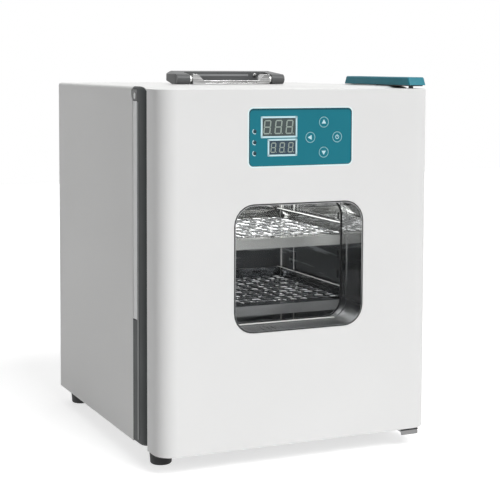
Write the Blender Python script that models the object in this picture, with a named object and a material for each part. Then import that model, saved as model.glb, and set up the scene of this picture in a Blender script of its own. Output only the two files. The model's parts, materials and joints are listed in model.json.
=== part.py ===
# Portable bench-top incubator: a painted steel case with a stainless chamber, a thick
# right-hinged door with a double window and a control panel, two perforated shelves,
# four rubber feet and a folding carry handle on the top.
# Metres, +Z up, the door faces -Y, the origin is on the bench under the middle of the case.

import math

import bmesh
import bpy
from mathutils import Matrix, Vector

mm = 0.001

for old in list(bpy.data.objects):
    bpy.data.objects.remove(old, do_unlink=True)

# Clearances
seat_gap = 0.3 * mm
key_gap = 0.3 * mm
pin_gap = 0.3 * mm

# Case
case_width = 300 * mm
case_height = 357.5 * mm
shell_depth = 260.3 * mm
shell_wall = 1.2 * mm
shell_radius = 3 * mm
rear_recess = 6 * mm
pan_flange = 12 * mm

# Feet
foot_height = 19 * mm
foot_radius = 12.2 * mm
foot_taper = 1.4 * mm
foot_edge = 1.2 * mm
foot_hole_radius = 3.5 * mm
foot_hole_depth = 8 * mm
foot_side_inset = 21 * mm
foot_front_inset = 10.3 * mm
foot_rear_inset = 13.6 * mm

# Front frame with its grip strip
frame_depth = 33.6 * mm
frame_inset = 4.5 * mm
frame_curve = 18 * mm
grip_recess = 1.5 * mm
grip_width = 12.4 * mm
grip_rear_land = 0.6 * mm
grip_rise = 125 * mm
grip_drop = 14.5 * mm
cap_gap = 0.6 * mm
cap_overlap = 3.6 * mm
cap_radius = 1.5 * mm
cap_lower_radius = 7 * mm

# Chamber
chamber_side = 35 * mm
chamber_head = 34.5 * mm
chamber_rise = 33 * mm
chamber_back = 49.2 * mm
chamber_radius = 8 * mm
liner_wall = 1 * mm
liner_flange = 10 * mm
jacket_back = 14 * mm

# Shelves and what carries them
upright_width = 14 * mm
upright_thickness = 2 * mm
upright_margin = 12 * mm
upright_front_setback = 94 * mm
upright_rear_setback = 33 * mm
slot_pitch = 22 * mm
slot_height = 9 * mm
slot_width = 5 * mm
rail_leg = 12 * mm
rail_guide = 6 * mm
rail_guide_gap = 0.4 * mm
rail_wall = 1.2 * mm
rail_setback = 6 * mm
shelf_front_setback = 45.8 * mm
shelf_rear_space = 6 * mm
shelf_sheet = 1.2 * mm
shelf_lip = 10.7 * mm
shelf_stop = 8 * mm
shelf_margin = 14 * mm
shelf_hole_radius = 5 * mm
shelf_hole_pitch = 22 * mm
upper_shelf_height = 163.4 * mm
lower_shelf_height = 92.6 * mm

# Chamber floor
floor_rise = 16 * mm
floor_sheet = 1.2 * mm
floor_side_space = 8 * mm
floor_front_space = 30 * mm
floor_rear_space = 14 * mm
floor_hole_radius = 5 * mm
floor_hole_pitch = 34 * mm
heater_radius = 3.2 * mm
heater_runs = 6
heater_side_space = 30 * mm
heater_end_space = 46 * mm
heater_tail_space = 15 * mm

# Sensors
probe_radius = 2.5 * mm
probe_reach = 26 * mm
probe_tail = 6 * mm
probe_nut_radius = 6 * mm
probe_nut_height = 3 * mm
probe_side_inset = 55 * mm
probe_drop = 40 * mm
cutout_radius = 8 * mm
cutout_height = 10 * mm
cutout_cap_radius = 5.6 * mm
cutout_flange = 4 * mm
cutout_side_inset = 65 * mm
cutout_rise = 60 * mm

# Door
door_thickness = 38.7 * mm
door_lift = 0.4 * mm
door_drop = 2.1 * mm
door_front_radius = 18.6 * mm
door_rear_radius = 4 * mm
door_wall = 2 * mm
door_return = 9 * mm
seal_space = 4.6 * mm
gasket_width = 12 * mm
gasket_outset = 9 * mm
gasket_radius = 10 * mm
gasket_inner_radius = 3 * mm
door_liner_wall = 1.5 * mm

# Window
window_width = 139.3 * mm
window_height = 124.1 * mm
window_radius = 19.5 * mm
window_x = -1.5 * mm
window_drop = 129.1 * mm
reveal_wall = 1.5 * mm
glass_thickness = 3 * mm
outer_glass_setback = 1.5 * mm
inner_glass_setback = 1.5 * mm

# Control panel
panel_width = 113.6 * mm
panel_height = 57 * mm
panel_radius = 5 * mm
panel_x = -1 * mm
panel_drop = 47 * mm
panel_sheet = 1.6 * mm
panel_bay = 18 * mm
board_setback = 11 * mm
board_sheet = 1.6 * mm
board_margin = 4 * mm
display_setback = 0.4 * mm
pv_width = 36 * mm
pv_height = 17.6 * mm
pv_x = -25.2 * mm
pv_rise = 10 * mm
sv_width = 28.6 * mm
sv_height = 13.6 * mm
sv_x = -21.5 * mm
sv_rise = -10.2 * mm
key_radius = 5.5 * mm
key_spread = 15 * mm
key_x = 24.1 * mm
key_rise = -0.8 * mm
key_skirt = 1.4 * mm
key_stem_radius = 2.2 * mm
key_travel = 0.5 * mm
lamp_radius = 1.3 * mm
lamp_pitch = 10.7 * mm
lamp_x = -51.4 * mm
lamp_rise = -4.7 * mm
lamp_bar_width = 4 * mm
lamp_bar_radius = 1 * mm

# Hinges
hinge_side_inset = 14.5 * mm
hinge_front_inset = 19.1 * mm
hinge_pin_radius = 2.5 * mm
hinge_pin_reach = 10 * mm
bush_wall = 2.2 * mm
bush_length = 13 * mm
arm_sheet = 2.5 * mm
arm_nose = 4 * mm
arm_length = 71.5 * mm
arm_pad_gap = 2 * mm
arm_nose_radius = 2.4 * mm
arm_rear_radius = 1 * mm
cover_width = 19.6 * mm
cover_height = 8.3 * mm
cover_length = 144 * mm
cover_front_inset = 12.9 * mm
cover_slit = 1.3 * mm
cover_pad_inset = 0.5 * mm
cover_wall = 1.2 * mm
cover_draft = 3.6 * mm
cover_radius = 1.6 * mm
cover_inner_radius = 0.6 * mm
cover_edge = 1 * mm
bracket_sheet = 3.8 * mm
bracket_drop = 2.8 * mm
bracket_width = 20 * mm
bracket_front_inset = 2.6 * mm
bracket_edge = 3.5 * mm
bracket_foot_gap = 2 * mm
bracket_nose = 12 * mm
bracket_slant = 6 * mm
bracket_reach = 22.5 * mm

# Carry handle
handle_width = 128.6 * mm
handle_depth = 37 * mm
handle_y = 25.5 * mm
handle_arm_width = 15.2 * mm
handle_arm_height = 10.9 * mm
handle_rise = 3.6 * mm
handle_grip_height = 10.8 * mm
handle_grip_depth = 13 * mm
handle_flat = 17 * mm
handle_edge = 3.4 * mm
handle_outer_radius = 3 * mm
handle_end_slope = 5.5 * mm
handle_end_drop = 3.6 * mm
handle_inner_radius = 4 * mm
handle_pin_radius = 2.2 * mm
handle_pin_reach = 9 * mm
handle_pin_embed = 3 * mm
collar_radius = 4.2 * mm
collar_length = 2.4 * mm
base_depth = 15 * mm
base_bar = 4.2 * mm
base_flat = 67 * mm
base_groove_low = 1.2 * mm
base_groove_high = 2.9 * mm
base_groove_depth = 1 * mm
base_groove_end = 2 * mm
ear_top_width = 5.8 * mm
ear_height = 11 * mm

# Mains parts in the back
inlet_width = 28 * mm
inlet_height = 20 * mm
inlet_flange_width = 50 * mm
inlet_flange_height = 23 * mm
inlet_flange = 2.5 * mm
inlet_flange_radius = 9.2 * mm
inlet_depth = 22 * mm
inlet_cavity = 16 * mm
inlet_wall = 2 * mm
inlet_bevel = 4 * mm
blade_width = 2 * mm
blade_height = 4 * mm
blade_spread = 7 * mm
blade_rise = 2 * mm
blade_setback = 2 * mm
inlet_side_inset = 50 * mm
mains_rise = 46 * mm
switch_width = 19 * mm
switch_height = 13 * mm
switch_flange = 1.4 * mm
switch_rim = 1.5 * mm
switch_radius = 1 * mm
switch_wall = 1.6 * mm
switch_depth = 17 * mm
switch_spacing = 45 * mm
rocker_tilt = math.radians(8)
rocker_wedge = 20
rocker_depth = 7 * mm
rocker_stand = 2.4 * mm
fuse_spacing = 30 * mm
fuse_radius = 7 * mm
fuse_flange_radius = 9 * mm
fuse_cap_radius = 5.6 * mm
fuse_slot_length = 7.8 * mm
fuse_slot_width = 1.6 * mm
fuse_flange = 3 * mm
fuse_depth = 18 * mm
power_board_width = 100 * mm
power_board_height = 90 * mm
power_board_side_inset = 95 * mm
power_board_rise = 71 * mm
stand_off = 9 * mm
stand_off_radius = 2.5 * mm
stand_off_inset = 6 * mm
transformer_width = 46 * mm
transformer_depth = 20 * mm
transformer_height = 38 * mm
transformer_side_inset = 70 * mm
winding_width = 8.3 * mm
winding_depth = 4 * mm
winding_height = 19 * mm
vent_slots = 7
vent_x = 40 * mm
vent_width = 40 * mm
vent_height = 3 * mm
vent_corner = 1.3 * mm
vent_pitch = 8 * mm
vent_drop = 57.5 * mm

# Places worked out from the sizes above
half_width = case_width / 2
total_depth = door_thickness + seal_space + frame_depth + shell_depth
front_y = -total_depth / 2
door_rear_y = front_y + door_thickness
frame_front_y = door_rear_y + seal_space
shell_front_y = frame_front_y + frame_depth
rear_y = shell_front_y + shell_depth
case_low = foot_height
case_high = case_low + case_height
door_low = case_low + door_lift
door_high = case_high - door_drop
inside_half = half_width - shell_wall - seat_gap
skin_half = half_width - shell_radius
panel_rear_y = rear_y - rear_recess
panel_inner_y = panel_rear_y - shell_wall
chamber_half = half_width - chamber_side
chamber_low = case_low + chamber_rise
chamber_high = case_high - chamber_head
liner_front_y = frame_front_y - seat_gap - liner_wall
chamber_rear_y = rear_y - chamber_back
jacket_rear_y = chamber_rear_y + liner_wall + seat_gap + jacket_back
hinge_x = half_width - hinge_side_inset
hinge_y = front_y + hinge_front_inset
panel_z = door_high - panel_drop
window_z = panel_z - window_drop
mains_z = case_low + mains_rise
inlet_x = half_width - inlet_side_inset
switch_x = inlet_x - switch_spacing
fuse_x = switch_x - fuse_spacing
power_board_x = -half_width + power_board_side_inset
transformer_x = -half_width + transformer_side_inset
probe_x = chamber_half - probe_side_inset
cutout_x = -chamber_half + cutout_side_inset
upright_half = chamber_half - seat_gap - upright_thickness
rail_half = upright_half - seat_gap
shelf_half = rail_half - rail_wall - seat_gap
shelf_front_y = liner_front_y + shelf_front_setback
shelf_rear_y = chamber_rear_y - shelf_rear_space
foot_x = half_width - foot_side_inset
foot_front_y = frame_front_y + foot_front_inset
foot_rear_y = rear_y - foot_rear_inset
bracket_rear_y = frame_front_y + bracket_reach
foot_hinge_y = bracket_rear_y + bracket_foot_gap + foot_radius
handle_front_y = handle_y - handle_depth / 2
handle_pin_y = handle_front_y + handle_arm_height / 2
handle_pin_z = case_high + seat_gap + handle_arm_height / 2
over = 5 * mm


def material(name, colour, roughness, metallic=0.0, alpha=1.0):
    finish = bpy.data.materials.new(name)
    finish.use_nodes = True
    shader = finish.node_tree.nodes["Principled BSDF"]
    shader.inputs["Base Color"].default_value = (*colour, 1.0)
    shader.inputs["Roughness"].default_value = roughness
    shader.inputs["Metallic"].default_value = metallic
    shader.inputs["Alpha"].default_value = alpha
    finish.diffuse_color = (*colour, alpha)
    return finish


white_paint = material("white_paint", (0.80, 0.80, 0.79), 0.35)
grey_plastic = material("grey_plastic", (0.075, 0.082, 0.082), 0.5)
trim_plastic = material("trim_plastic", (0.40, 0.41, 0.41), 0.4)
stainless = material("stainless", (0.55, 0.56, 0.56), 0.28, 1.0)
dark_steel = material("dark_steel", (0.03, 0.031, 0.032), 0.4)
plated_steel = material("plated_steel", (0.62, 0.62, 0.62), 0.3, 1.0)
rubber = material("rubber", (0.018, 0.018, 0.019), 0.7)
gasket_rubber = material("gasket_rubber", (0.04, 0.042, 0.044), 0.65)
glass = material("glass", (0.85, 0.9, 0.9), 0.05, 0.0, 0.25)
teal_plastic = material("teal_plastic", (0.017, 0.195, 0.255), 0.4)
overlay_film = material("overlay_film", (0.017, 0.195, 0.255), 0.45)
display_face = material("display_face", (0.045, 0.06, 0.075), 0.25)
lamp_lens = material("lamp_lens", (0.25, 0.5, 0.48), 0.3)
circuit_board = material("circuit_board", (0.02, 0.12, 0.05), 0.5)
foam = material("foam", (0.75, 0.72, 0.6), 0.9)
handle_plastic = material("handle_plastic", (0.06, 0.062, 0.064), 0.5)
black_plastic = material("black_plastic", (0.02, 0.02, 0.021), 0.45)
ceramic = material("ceramic", (0.7, 0.68, 0.6), 0.6)


# Outlines, as lists of points in a plane

def arc(centre, radius, start, end, steps):
    points = []
    for i in range(steps + 1):
        angle = math.radians(start + (end - start) * i / steps)
        points.append((centre[0] + radius * math.cos(angle), centre[1] + radius * math.sin(angle)))
    return points


def rounded_rectangle(low, high, radii, steps=3):
    """Anticlockwise from the lower left; radii are lower left, lower right, upper right, upper left."""
    if isinstance(radii, float):
        radii = (radii,) * 4
    points = []
    corners = ((low[0], low[1], 1, 1), (high[0], low[1], -1, 1), (high[0], high[1], -1, -1),
               (low[0], high[1], 1, -1))
    for (x, y, to_x, to_y), radius, start in zip(corners, radii, (180, 270, 0, 90)):
        if radius == 0:
            points.append((x, y))
        else:
            centre = (x + to_x * radius, y + to_y * radius)
            points += arc(centre, radius, start, start + 90, steps)
    return points


def centred_rectangle(centre, width, height, radius, steps=3):
    low = (centre[0] - width / 2, centre[1] - height / 2)
    high = (centre[0] + width / 2, centre[1] + height / 2)
    return rounded_rectangle(low, high, (radius,) * 4, steps)


def polygon(centre, radius, sides, turn=0.0):
    step = 360 / sides
    return arc(centre, radius, turn, turn + 360 - step, sides - 1)


# Meshes, in world coordinates

def place(point, axis, along):
    """A point of a plane outline put at a distance along X, Y or Z."""
    u, v = point
    return {"x": (along, u, v), "y": (u, along, v), "z": (u, v, along)}[axis]


def loft(rings, axis):
    """Closes a body through outlines of the same number of points, each given with its place."""
    bm = bmesh.new()
    loops = [[bm.verts.new(place(p, axis, along)) for p in outline] for outline, along in rings]
    bm.faces.new(loops[0])
    bm.faces.new(loops[-1])
    for first, second in zip(loops, loops[1:]):
        for i in range(len(first)):
            j = (i + 1) % len(first)
            bm.faces.new((first[i], first[j], second[j], second[i]))
    bmesh.ops.recalc_face_normals(bm, faces=bm.faces)
    return bm


def prism(outline, axis, start, end):
    return loft([(outline, start), (outline, end)], axis)


def block(low, high):
    return prism(rounded_rectangle(low[:2], high[:2], (0,) * 4), "z", low[2], high[2])


def rod(centre, radius, axis, start, end, sides=16):
    return prism(polygon(centre, radius, sides), axis, start, end)


def turned(profile, axis, centre, steps=20):
    """A body of revolution. The profile gives (radius, place along the axis) and may start and end at 0."""
    bm = bmesh.new()
    rings = []
    for radius, along in profile:
        if radius == 0:
            rings.append([bm.verts.new(place(centre, axis, along))])
        else:
            ring = polygon(centre, radius, steps)
            rings.append([bm.verts.new(place(p, axis, along)) for p in ring])
    closed = profile[0][0] > 0
    pairs = list(zip(rings, rings[1:]))
    if closed:
        pairs.append((rings[-1], rings[0]))
    for first, second in pairs:
        for i in range(steps):
            j = (i + 1) % steps
            corners = [first[i % len(first)], first[j % len(first)]]
            corners += [second[j % len(second)], second[i % len(second)]]
            unique = list(dict.fromkeys(corners))
            if len(unique) > 2:
                bm.faces.new(unique)
    bmesh.ops.recalc_face_normals(bm, faces=bm.faces)
    return bm


def gather(parts):
    """One mesh of several separate bodies, for a cutter."""
    bm = bmesh.new()
    for part in parts:
        mesh = bpy.data.meshes.new("gathered")
        part.to_mesh(mesh)
        part.free()
        bm.from_mesh(mesh)
        bpy.data.meshes.remove(mesh)
    return bm


# Objects

def add(name, bm, finish, origin=(0, 0, 0), parent=None, smooth=35):
    bmesh.ops.translate(bm, verts=bm.verts, vec=-Vector(origin))
    mesh = bpy.data.meshes.new(name)
    bm.to_mesh(mesh)
    bm.free()
    mesh.shade_smooth()
    mesh.set_sharp_from_angle(angle=math.radians(smooth))
    obj = bpy.data.objects.new(name, mesh)
    bpy.context.scene.collection.objects.link(obj)
    obj.location = origin
    if parent:
        obj.parent = parent
        obj.location = Vector(origin) - parent.location
    if finish:
        mesh.materials.append(finish)
    return obj


def combine(obj, bm, operation, label):
    """Cuts a mesh from an object, or joins it on, with a hidden helper object."""
    origin = obj.location + (obj.parent.location if obj.parent else Vector())
    helper = add(f"{obj.name}_{label}", bm, None, origin, obj.parent)
    helper.hide_render = True
    helper.display_type = "WIRE"
    step = obj.modifiers.new(label, "BOOLEAN")
    step.operation = operation
    step.object = helper
    step.solver = "EXACT"
    return obj


def cut(obj, bm, label):
    return combine(obj, bm, "DIFFERENCE", label)


def join(obj, bm, label):
    return combine(obj, bm, "UNION", label)


def pivot(name, place_at, parent=None):
    empty = bpy.data.objects.new(name, None)
    bpy.context.scene.collection.objects.link(empty)
    empty.empty_display_size = 20 * mm
    empty.location = Vector(place_at) - (parent.location if parent else Vector())
    empty.parent = parent
    return empty


# Case

def arch_outline(half, low, high, radius, wall):
    """A wall that goes up the left side, over the top and down the right side."""
    inner_radius = max(radius - wall, wall / 4)
    outer = [(-half, low)]
    outer += arc((-half + radius, high - radius), radius, 180, 90, 3)
    outer += arc((half - radius, high - radius), radius, 90, 0, 3)
    outer.append((half, low))
    inner_half = half - wall
    inner_high = high - wall
    inner = [(inner_half, low)]
    inner += arc((inner_half - inner_radius, inner_high - inner_radius), inner_radius, 0, 90, 2)
    inner += arc((-inner_half + inner_radius, inner_high - inner_radius), inner_radius, 90, 180, 2)
    inner.append((-inner_half, low))
    return outer + inner


grip_rear_y = shell_front_y - grip_rear_land
grip_front_y = grip_rear_y - grip_width
grip_low = case_low + grip_rise
grip_high = case_high - grip_drop
cap_low = grip_high + cap_gap
cap_high = case_high - shell_radius
cap_rear_y = shell_front_y + cap_overlap


def cap_outline(growth):
    low = (grip_front_y - growth, cap_low - growth)
    high = (cap_rear_y + growth, cap_high + growth)
    return rounded_rectangle(low, high, (cap_radius, cap_lower_radius, cap_radius, cap_radius))


def frame_curve_points():
    """How far the frame's outside draws in towards the door, as (place in Y, inset)."""
    points = []
    for x, y in arc((0, 0), 1, 90, 0, 5):
        points.append((frame_front_y + frame_curve * (1 - y), frame_inset * (1 - x)))
    return points


def build_outer_shell():
    outline = arch_outline(half_width, case_low, case_high, shell_radius, shell_wall)
    shell = add("outer_shell", prism(outline, "y", shell_front_y, rear_y), white_paint)
    # The top skin runs on over the frame and turns down with it.
    skin = [(y, case_high - inset) for y, inset in frame_curve_points()] + [(shell_front_y + over, case_high)]
    skin += [(y, z - shell_wall) for y, z in reversed(skin)]
    join(shell, prism(skin, "x", -skin_half, skin_half), "front_skin")
    cut(shell, prism(cap_outline(seat_gap), "x", -half_width - over, -inside_half + over), "cap_notch")


def build_base_pan():
    low, high = case_low, case_low + pan_flange
    outline = [(-inside_half, low), (inside_half, low), (inside_half, high), (inside_half - shell_wall, high)]
    outline += [(inside_half - shell_wall, low + shell_wall), (-inside_half + shell_wall, low + shell_wall)]
    outline += [(-inside_half + shell_wall, high), (-inside_half, high)]
    add("base_pan", prism(outline, "y", shell_front_y + seat_gap, panel_inner_y - seat_gap), white_paint)


def build_rear_panel():
    top = case_high - shell_wall - seat_gap
    radii = (0, 0, shell_radius, shell_radius)
    outline = rounded_rectangle((-inside_half, case_low), (inside_half, top), radii)
    panel = add("rear_panel", prism(outline, "y", panel_inner_y, panel_rear_y), white_paint)
    start, end = panel_inner_y - over, panel_rear_y + over
    play = 2 * seat_gap
    inlet = centred_rectangle((inlet_x, mains_z), inlet_width + play, inlet_height + play, 0)
    switch = centred_rectangle((switch_x, mains_z), switch_width + play, switch_height + play, 0)
    fuse = polygon((fuse_x, mains_z), fuse_radius + seat_gap, 16)
    holes = [prism(outline, "y", start, end) for outline in (inlet, switch, fuse)]
    for side in (-1, 1):
        for i in range(vent_slots):
            centre = (side * vent_x, case_high - vent_drop + (i - (vent_slots - 1) / 2) * vent_pitch)
            slot = centred_rectangle(centre, vent_width, vent_height, vent_corner, 1)
            holes.append(prism(slot, "y", start, end))
    cut(panel, gather(holes), "openings")


def build_front_frame():
    rings = []
    for place_y, inset in frame_curve_points():
        low = (-half_width + inset, case_low + inset)
        high = (half_width - inset, case_high - inset)
        rings.append((rounded_rectangle(low, high, (shell_radius,) * 4), place_y))
    rings.append((rings[-1][0], shell_front_y - seat_gap))
    frame = add("front_frame", loft(rings, "y"), grey_plastic)
    half = chamber_half + liner_wall + seat_gap
    low = (-half, chamber_low - liner_wall - seat_gap)
    high = (half, chamber_high + liner_wall + seat_gap)
    hole = rounded_rectangle(low, high, (0,) * 4)
    cut(frame, prism(hole, "y", frame_front_y - over, shell_front_y + over), "opening")
    drop = shell_wall + seat_gap
    under = [(y, case_high - inset - drop) for y, inset in frame_curve_points()]
    under = [(frame_front_y - over, under[0][1])] + under + [(shell_front_y + over, case_high - drop)]
    under += [(shell_front_y + over, case_high + over), (frame_front_y - over, case_high + over)]
    cut(frame, prism(under, "x", -skin_half - seat_gap, skin_half + seat_gap), "skin_recess")
    recess = block((-half_width - over, grip_front_y - seat_gap, grip_low - seat_gap),
                   (-half_width + grip_recess, grip_rear_y + seat_gap, grip_high + seat_gap))
    cut(frame, recess, "grip_recess")
    cap = prism(cap_outline(seat_gap), "x", -half_width - over, -half_width + grip_recess)
    cut(frame, cap, "cap_recess")


def build_grip():
    strip = block((-half_width + seat_gap, grip_front_y, grip_low),
                  (-half_width + grip_recess - seat_gap, grip_rear_y, grip_high))
    add("grip_strip", strip, trim_plastic)
    cap = prism(cap_outline(0), "x", -half_width, -half_width + grip_recess - seat_gap)
    add("grip_corner_cap", cap, grey_plastic)


def build_feet():
    top = foot_height - seat_gap
    low_radius = foot_radius - foot_taper
    profile = [(0, foot_hole_depth), (foot_hole_radius, foot_hole_depth), (foot_hole_radius, 0)]
    profile += [(low_radius - foot_edge, 0), (low_radius, foot_edge), (foot_radius, top), (0, top)]
    for name, x, y in (("foot_front_left", -foot_x, foot_front_y), ("foot_front_right", foot_x, foot_hinge_y),
                       ("foot_rear_left", -foot_x, foot_rear_y), ("foot_rear_right", foot_x, foot_rear_y)):
        add(name, turned(profile, "z", (x, y), 24), rubber, (x, y, 0))


# Chamber

def build_chamber():
    half, wall = chamber_half, liner_wall
    low, high = chamber_low, chamber_high
    outer = block((-half - wall, liner_front_y, low - wall),
                  (half + wall, chamber_rear_y + wall, high + wall))
    liner = add("chamber_liner", outer, stainless)
    rim = liner_flange
    outline = rounded_rectangle((-half - rim, low - rim), (half + rim, high + rim), (chamber_radius,) * 4)
    flange = prism(outline, "y", liner_front_y, liner_front_y + wall)
    join(liner, flange, "flange")
    hollow = rounded_rectangle((-half, low), (half, high), (chamber_radius,) * 4)
    cut(liner, prism(hollow, "y", liner_front_y - over, chamber_rear_y), "hollow")
    probe_z = chamber_high - probe_drop
    hole = rod((probe_x, probe_z), probe_radius + seat_gap, "y", chamber_rear_y - over, chamber_rear_y + over)
    cut(liner, hole, "probe_hole")

    side = inside_half
    floor, roof = case_low + pan_flange + seat_gap, case_high - shell_wall - seat_gap
    outline = rounded_rectangle((-side, floor), (side, roof), (0, 0, shell_radius, shell_radius))
    jacket = add("insulation_jacket", prism(outline, "y", shell_front_y + seat_gap, jacket_rear_y), foam)
    space = wall + seat_gap
    cut(jacket, block((-half - space, shell_front_y - over, low - space),
                      (half + space, chamber_rear_y + space, high + space)), "chamber_space")
    probe = rod((probe_x, probe_z), probe_radius + seat_gap, "y", chamber_rear_y - over, jacket_rear_y + over)
    well = rod((cutout_x, low + cutout_rise), cutout_radius + seat_gap, "y", chamber_rear_y - over,
               jacket_rear_y + over)
    cut(jacket, gather([probe, well]), "sensor_holes")


def build_sensors():
    probe_z = chamber_high - probe_drop
    inner = chamber_rear_y - seat_gap
    tip = chamber_rear_y - probe_reach
    tail = jacket_rear_y + probe_tail
    point = probe_radius / 2
    profile = [(0, tip), (point, tip), (probe_radius, tip + point), (probe_radius, inner - probe_nut_height)]
    profile += [(probe_nut_radius, inner - probe_nut_height), (probe_nut_radius, inner)]
    profile.append((probe_radius, inner))
    profile += [(probe_radius, tail), (0, tail)]
    add("temperature_probe", turned(profile, "y", (probe_x, probe_z), 12), plated_steel)
    back = chamber_rear_y + liner_wall + seat_gap
    profile = [(0, back), (cutout_radius, back), (cutout_radius, back + cutout_flange)]
    profile += [(cutout_cap_radius, back + cutout_flange), (cutout_cap_radius, back + cutout_height)]
    profile.append((0, back + cutout_height))
    add("thermal_cutout", turned(profile, "y", (cutout_x, chamber_low + cutout_rise), 16), ceramic)


def build_uprights():
    low, high = chamber_low + upright_margin, chamber_high - upright_margin
    count = int((high - low) / slot_pitch)
    first = (low + high) / 2 - (count - 1) / 2 * slot_pitch
    places = {"front": liner_front_y + upright_front_setback, "rear": chamber_rear_y - upright_rear_setback}
    for end, centre_y in places.items():
        start, finish = centre_y - upright_width / 2, centre_y + upright_width / 2
        for side, sign in (("left", -1), ("right", 1)):
            walls = sorted((sign * upright_half, sign * (upright_half + upright_thickness)))
            strip = block((walls[0], start, low), (walls[1], finish, high))
            upright = add(f"shelf_upright_{end}_{side}", strip, stainless)
            slots = []
            for i in range(count):
                slot = centred_rectangle((centre_y, first + i * slot_pitch), slot_width, slot_height, 0)
                slots.append(prism(slot, "x", walls[0] - over, walls[1] + over))
            cut(upright, gather(slots), "slots")


def build_shelf(name, height):
    top = chamber_low + height
    rail_top = top - shelf_sheet - seat_gap
    rail_start = shelf_front_y + rail_setback
    for side, sign in (("left", -1), ("right", 1)):
        inner, wall, guide = rail_half - rail_leg, rail_half - rail_wall, rail_half - rail_guide
        guide_low = top + shelf_stop + rail_guide_gap
        outline = [(rail_half, rail_top - rail_wall), (inner, rail_top - rail_wall), (inner, rail_top)]
        outline += [(wall, rail_top), (wall, guide_low), (guide, guide_low), (guide, guide_low + rail_wall)]
        outline.append((rail_half, guide_low + rail_wall))
        outline = [(sign * x, z) for x, z in outline]
        add(f"{name}_rail_{side}", prism(outline, "y", rail_start, shelf_rear_y), stainless)
    # Side view of the bent sheet: lip down at the front, stop up at the back.
    sheet = shelf_sheet
    low, high = top - shelf_lip, top + shelf_stop
    outline = [(shelf_front_y, top), (shelf_front_y, low), (shelf_front_y + sheet, low)]
    outline += [(shelf_front_y + sheet, top - sheet), (shelf_rear_y, top - sheet), (shelf_rear_y, high)]
    outline += [(shelf_rear_y - sheet, high), (shelf_rear_y - sheet, top)]
    shelf = add(f"{name}_shelf", prism(outline, "x", -shelf_half, shelf_half), stainless)
    field_x = shelf_half - shelf_margin
    front, back = shelf_front_y + shelf_margin, shelf_rear_y - shelf_margin
    across = int(2 * field_x / shelf_hole_pitch)
    deep = int((back - front) / shelf_hole_pitch)
    holes = []
    for i in range(across + 1):
        for j in range(deep + 1):
            x = (i - across / 2) * shelf_hole_pitch
            y = (front + back) / 2 + (j - deep / 2) * shelf_hole_pitch
            hole = polygon((x, y), shelf_hole_radius, 6, 30)
            holes.append(prism(hole, "z", top - sheet - over, top + over))
    cut(shelf, gather(holes), "perforation")


def build_chamber_floor():
    half = chamber_half - floor_side_space
    low, top = chamber_low + seat_gap, chamber_low + floor_rise
    start, end = liner_front_y + floor_front_space, chamber_rear_y - floor_rear_space
    sheet = floor_sheet
    outline = [(-half, low), (-half + sheet, low), (-half + sheet, top - sheet), (half - sheet, top - sheet)]
    outline += [(half - sheet, low), (half, low), (half, top), (-half, top)]
    plate = add("floor_plate", prism(outline, "y", start, end), stainless)
    holes = []
    across = int((2 * half - floor_hole_pitch) / floor_hole_pitch)
    deep = int((end - start - floor_hole_pitch) / floor_hole_pitch)
    for i in range(across + 1):
        for j in range(deep + 1):
            x = (i - across / 2) * floor_hole_pitch
            y = (start + end) / 2 + (j - deep / 2) * floor_hole_pitch
            holes.append(rod((x, y), floor_hole_radius, "z", top - sheet - over, top + over, 8))
    cut(plate, gather(holes), "perforation")

    side = chamber_half - heater_side_space
    first, last = liner_front_y + heater_end_space, chamber_rear_y - heater_end_space
    height = chamber_low + seat_gap + heater_radius
    tube("heater_element", heater_route(side, first, last, height), heater_radius, plated_steel)


def heater_route(side, first, last, height):
    """A flat zigzag of straight runs with round returns, its tails going to the back."""
    pitch = (last - first) / (heater_runs - 1)
    bend = pitch / 2
    points = [(-side, chamber_rear_y - heater_tail_space, height)]
    for i in range(heater_runs):
        y = last - i * pitch
        sign = 1 if i % 2 == 0 else -1
        points.append((-sign * (side - bend), y, height))
        points.append((sign * (side - bend), y, height))
        if i < heater_runs - 1:
            turn = arc((sign * (side - bend), y - bend), bend, 90, 90 - sign * 180, 6)
            points += [(x, v, height) for x, v in turn[1:-1]]
    return points


def tube(name, points, radius, finish):
    curve = bpy.data.curves.new(name, "CURVE")
    curve.dimensions = "3D"
    curve.bevel_depth = radius
    curve.bevel_resolution = 2
    curve.use_fill_caps = True
    spline = curve.splines.new("POLY")
    spline.points.add(len(points) - 1)
    for target, point in zip(spline.points, points):
        target.co = (*point, 1)
    curve.materials.append(finish)
    bpy.context.scene.collection.objects.link(bpy.data.objects.new(name, curve))


# Mains parts in the back

def build_inlet():
    face = panel_rear_y + seat_gap
    inner = panel_rear_y - inlet_depth
    body = centred_rectangle((inlet_x, mains_z), inlet_width, inlet_height, 0)
    socket = add("inlet_socket", prism(body, "y", inner, face + inlet_flange / 2), black_plastic)
    centre = (inlet_x, mains_z)
    flange = centred_rectangle(centre, inlet_flange_width, inlet_flange_height, inlet_flange_radius)
    join(socket, prism(flange, "y", face, face + inlet_flange), "flange")
    half_x, half_z = inlet_width / 2 - inlet_wall, inlet_height / 2 - inlet_wall
    slant_x, slant_z = half_x - inlet_bevel, half_z - inlet_bevel
    outline = [(-half_x, -half_z), (half_x, -half_z), (half_x, slant_z), (slant_x, half_z)]
    outline += [(-slant_x, half_z), (-half_x, slant_z)]
    outline = [(inlet_x + x, mains_z + z) for x, z in outline]
    floor = face + inlet_flange - inlet_cavity
    cut(socket, prism(outline, "y", floor, face + over), "cavity")
    blades = []
    for x, z in ((-blade_spread, -blade_rise), (0, blade_rise), (blade_spread, -blade_rise)):
        blade = centred_rectangle((inlet_x + x, mains_z + z), blade_width, blade_height, 0)
        blades.append(prism(blade, "y", floor - inlet_wall, face - blade_setback))
    join(socket, gather(blades), "blades")


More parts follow.
